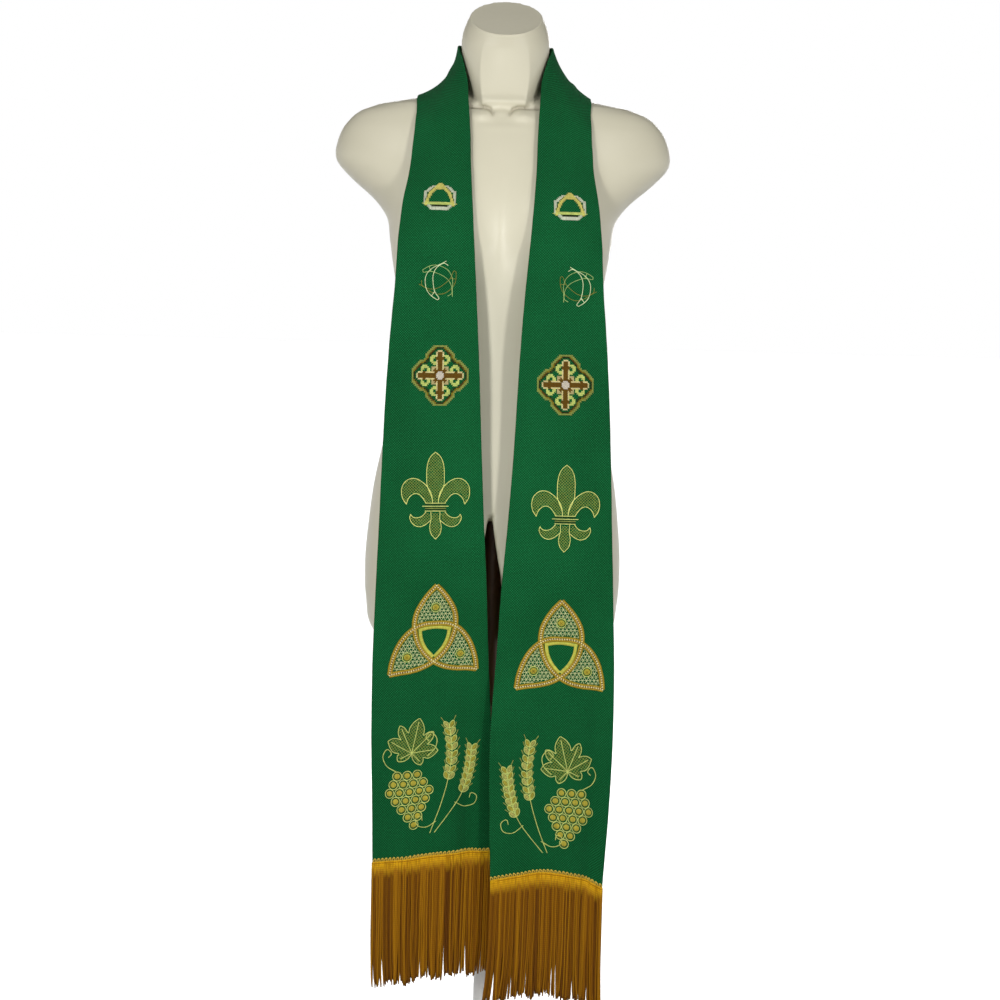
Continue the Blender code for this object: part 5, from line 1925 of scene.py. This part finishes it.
def cream_plastic():
    """Aged moulded plastic with painted shade in its collarbone hollows, scuffed to an uneven shine."""
    finish = Finish(
        "cream_plastic", roughness=0.42, Coat_Weight=0.10, Coat_Roughness=0.30, Specular_IOR_Level=0.42
    )
    place = finish.coordinates("Object")
    cloudy = finish.noise(place, scale=6.0, detail=4.0)
    plastic = finish.ramp(cloudy, (
        (0.30, (0.640, 0.608, 0.470)),
        (0.70, (0.690, 0.655, 0.512)),
    ))
    # Painted shade: the plastic's colour is darkened towards a brownish grey in the collarbone hollows.
    painted_shade = finish.times(finish.value("groove_shade").outputs["Fac"], 0.60)
    finish.colour(finish.mix(painted_shade, plastic, (0.30, 0.27, 0.20)))
    scuffs = finish.noise(place, scale=90.0, detail=6.0, roughness=0.7)
    finish.rough(finish.rescale(scuffs, (0.35, 0.75), (0.36, 0.52)))
    finish.bump(finish.noise(place, scale=38.0, detail=3.0), strength=0.06, distance=0.002)
    return finish.material


def powder_coated_steel(name, dim, bright):
    """A satin coat of one colour, a little uneven, with a very fine grain."""
    finish = Finish(name, roughness=0.42, Specular_IOR_Level=0.5)
    place = finish.coordinates("Object")
    finish.colour(finish.ramp(finish.noise(place, scale=14.0, detail=4.0), ((0.30, dim), (0.70, bright))))
    finish.bump(finish.noise(place, scale=1400.0, detail=2.0), strength=0.25, distance=0.0003)
    return finish.material


def pale_floor():
    finish = Finish("pale_floor", roughness=0.9, Specular_IOR_Level=0.1)
    place = finish.coordinates("Object")
    finish.colour(finish.ramp(finish.noise(place, scale=1.2, detail=2.0), (
        (0.30, (0.925, 0.925, 0.925)),
        (0.70, (0.935, 0.935, 0.935)),
    )))
    return finish.material


# ---- studio

CAMERA_PLACE = (0.0078, -2.60, 0.984)
CAMERA_PITCH = 5.64  # degrees down
CAMERA_ROLL = 1.5
CAMERA_LENS = 73.1  # millimetres, as is the sensor's width
CAMERA_SENSOR = 36.0
FLOOR_SIZE = 80.0
FLOOR_DEPTH = 0.0005  # the floor's face lies this far below the stand's
# The sky's strength from straight down (0) past the horizon (0.5) to straight up (1).
SKY = ((0.02, 0.08), (0.46, 0.08), (0.485, 1.0), (0.590, 1.0), (0.625, 0.82), (0.66, 0.06), (0.98, 0.06))
FLOOR_WASH = 3.7
FLOOR_WASH_SPREAD = 20  # degrees

NEARLY_WHITE = (1.0, 0.99, 0.97)
WARM_WHITE = (1.0, 0.99, 0.965)
Box = namedtuple("Box", "name place aim size power colour")
SOFT_BOXES = rows_of(
    Box,
    ("right_box", (0.52, -1.32, 0.90), (0.0, -0.1, 0.82), (0.12, 0.46), 5.5, WARM_WHITE),
    ("left_box", (-0.36, -1.36, 0.88), (0.0, -0.1, 0.82), (0.12, 0.46), 8.0, WARM_WHITE),
    ("high_right_box", (1.0, -1.2, 2.2), (0.0, 0.0, 1.1), (0.5, 0.5), 5.4, NEARLY_WHITE),
    ("high_left_box", (-1.0, -1.2, 2.2), (0.0, 0.0, 1.1), (0.5, 0.5), 5.4, NEARLY_WHITE),
    ("top_box", (0.0, 0.35, 2.70), (0.0, 0.0, 1.2), (1.0, 0.8), 2.8, NEARLY_WHITE),
    ("back_box", (0.3, 2.4, 1.5), (0.0, 0.0, 1.0), (1.4, 1.0), 24.0, (1.0, 1.0, 1.0)),
)


def set_camera():
    data = bpy.data.cameras.new("camera")
    data.lens = CAMERA_LENS
    data.sensor_width = CAMERA_SENSOR
    camera = add_object("camera", data)
    pitch = Matrix.Rotation(math.radians(90 - CAMERA_PITCH), 4, "X")
    roll = Matrix.Rotation(math.radians(CAMERA_ROLL), 4, "Z")
    camera.matrix_world = Matrix.Translation(CAMERA_PLACE) @ (pitch @ roll)
    bpy.context.scene.camera = camera


def set_floor():
    """A plain pale floor that runs out to the horizon on every side."""
    deselect_all()
    bpy.ops.mesh.primitive_plane_add(size=FLOOR_SIZE, location=(0, 0, -FLOOR_DEPTH))
    bpy.ops.object.transform_apply(location=True, rotation=False, scale=False)
    floor = bpy.context.object
    floor.name = "studio_floor"
    floor.data.materials.append(pale_floor())
    floor.visible_diffuse = False
    return floor


def set_soft_box(box):
    data = bpy.data.lights.new(box.name, "AREA")
    data.shape = "RECTANGLE"
    data.size, data.size_y = box.size
    data.energy = box.power
    data.color = box.colour
    light = add_object(box.name, data)
    light.location = box.place
    light.rotation_euler = (Vector(box.aim) - Vector(box.place)).to_track_quat("-Z", "Y").to_euler()
    light.visible_camera = False


def set_sky():
    """A dim sky with a white band at the horizon."""
    world = bpy.data.worlds.new("studio")
    world.use_nodes = True
    tree = world.node_tree
    direction = tree.nodes.new("ShaderNodeTexCoord")
    split = tree.nodes.new("ShaderNodeSeparateXYZ")
    level = tree.nodes.new("ShaderNodeMapRange")
    level.inputs["From Min"].default_value = -1.0
    level.inputs["From Max"].default_value = 1.0
    band = tree.nodes.new("ShaderNodeValToRGB")
    for place, strength in SKY:
        stop = band.color_ramp.elements.new(place)
        stop.color = (strength, strength, strength, 1.0)
    for spare in (0, -1):
        band.color_ramp.elements.remove(band.color_ramp.elements[spare])
    tree.links.new(direction.outputs["Generated"], split.inputs[0])
    tree.links.new(split.outputs["Z"], level.inputs["Value"])
    tree.links.new(level.outputs["Result"], band.inputs["Fac"])
    tree.links.new(band.outputs["Color"], tree.nodes["Background"].inputs["Color"])
    bpy.context.scene.world = world


def set_floor_wash(floor):
    """A light that falls on the floor only."""
    data = bpy.data.lights.new("floor_wash", "SUN")
    data.energy = FLOOR_WASH
    data.angle = math.radians(FLOOR_WASH_SPREAD)
    wash = add_object("floor_wash", data)
    lit_by_wash = bpy.data.collections.new("lit_by_wash")
    lit_by_wash.objects.link(floor)
    wash.light_linking.receiver_collection = lit_by_wash


# ---- the whole


def build():
    """The studio, the form and its stand, and then the two fronts with all their work."""
    set_camera()
    floor = set_floor()
    set_sky()
    for box in SOFT_BOXES:
        set_soft_box(box)
    set_floor_wash(floor)
    form = mould_form(cream_plastic())
    # Painted shade: a real pole and sleeve, coated dark brown so that they fill the gap between the fronts
    # like shade.
    pole_shade_coat = powder_coated_steel(
        "pole_brown_as_gap_shade", dim=(0.082, 0.031, 0.008), bright=(0.115, 0.045, 0.013)
    )
    white_coat = powder_coated_steel(
        "white_powder_coat", dim=(0.860, 0.858, 0.845), bright=(0.890, 0.888, 0.875)
    )
    build_stand(pole_shade_coat, white_coat)
    form_tree = BVHTree.FromObject(form, bpy.context.evaluated_depsgraph_get())
    cloth_finish = green_evenweave()
    thread_finish = spun_thread()
    fringe_finish = gold_fringe()
    template = model_stitch()
    for front in FRONTS:
        cloth = Cloth(front, form_tree)
        panel = sew_panel(cloth, cloth_finish)
        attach(panel, "root")
        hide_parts("panel_" + front.name)
        worked = [embroider(cloth, motif, template, thread_finish) for motif in MOTIFS]
        worked.append(fringe_strands(cloth, fringe_finish))
        worked += fringe_header(cloth, fringe_finish)


build()
bpy.context.scene.view_settings.view_transform = "Standard"
bpy.context.view_layer.update()
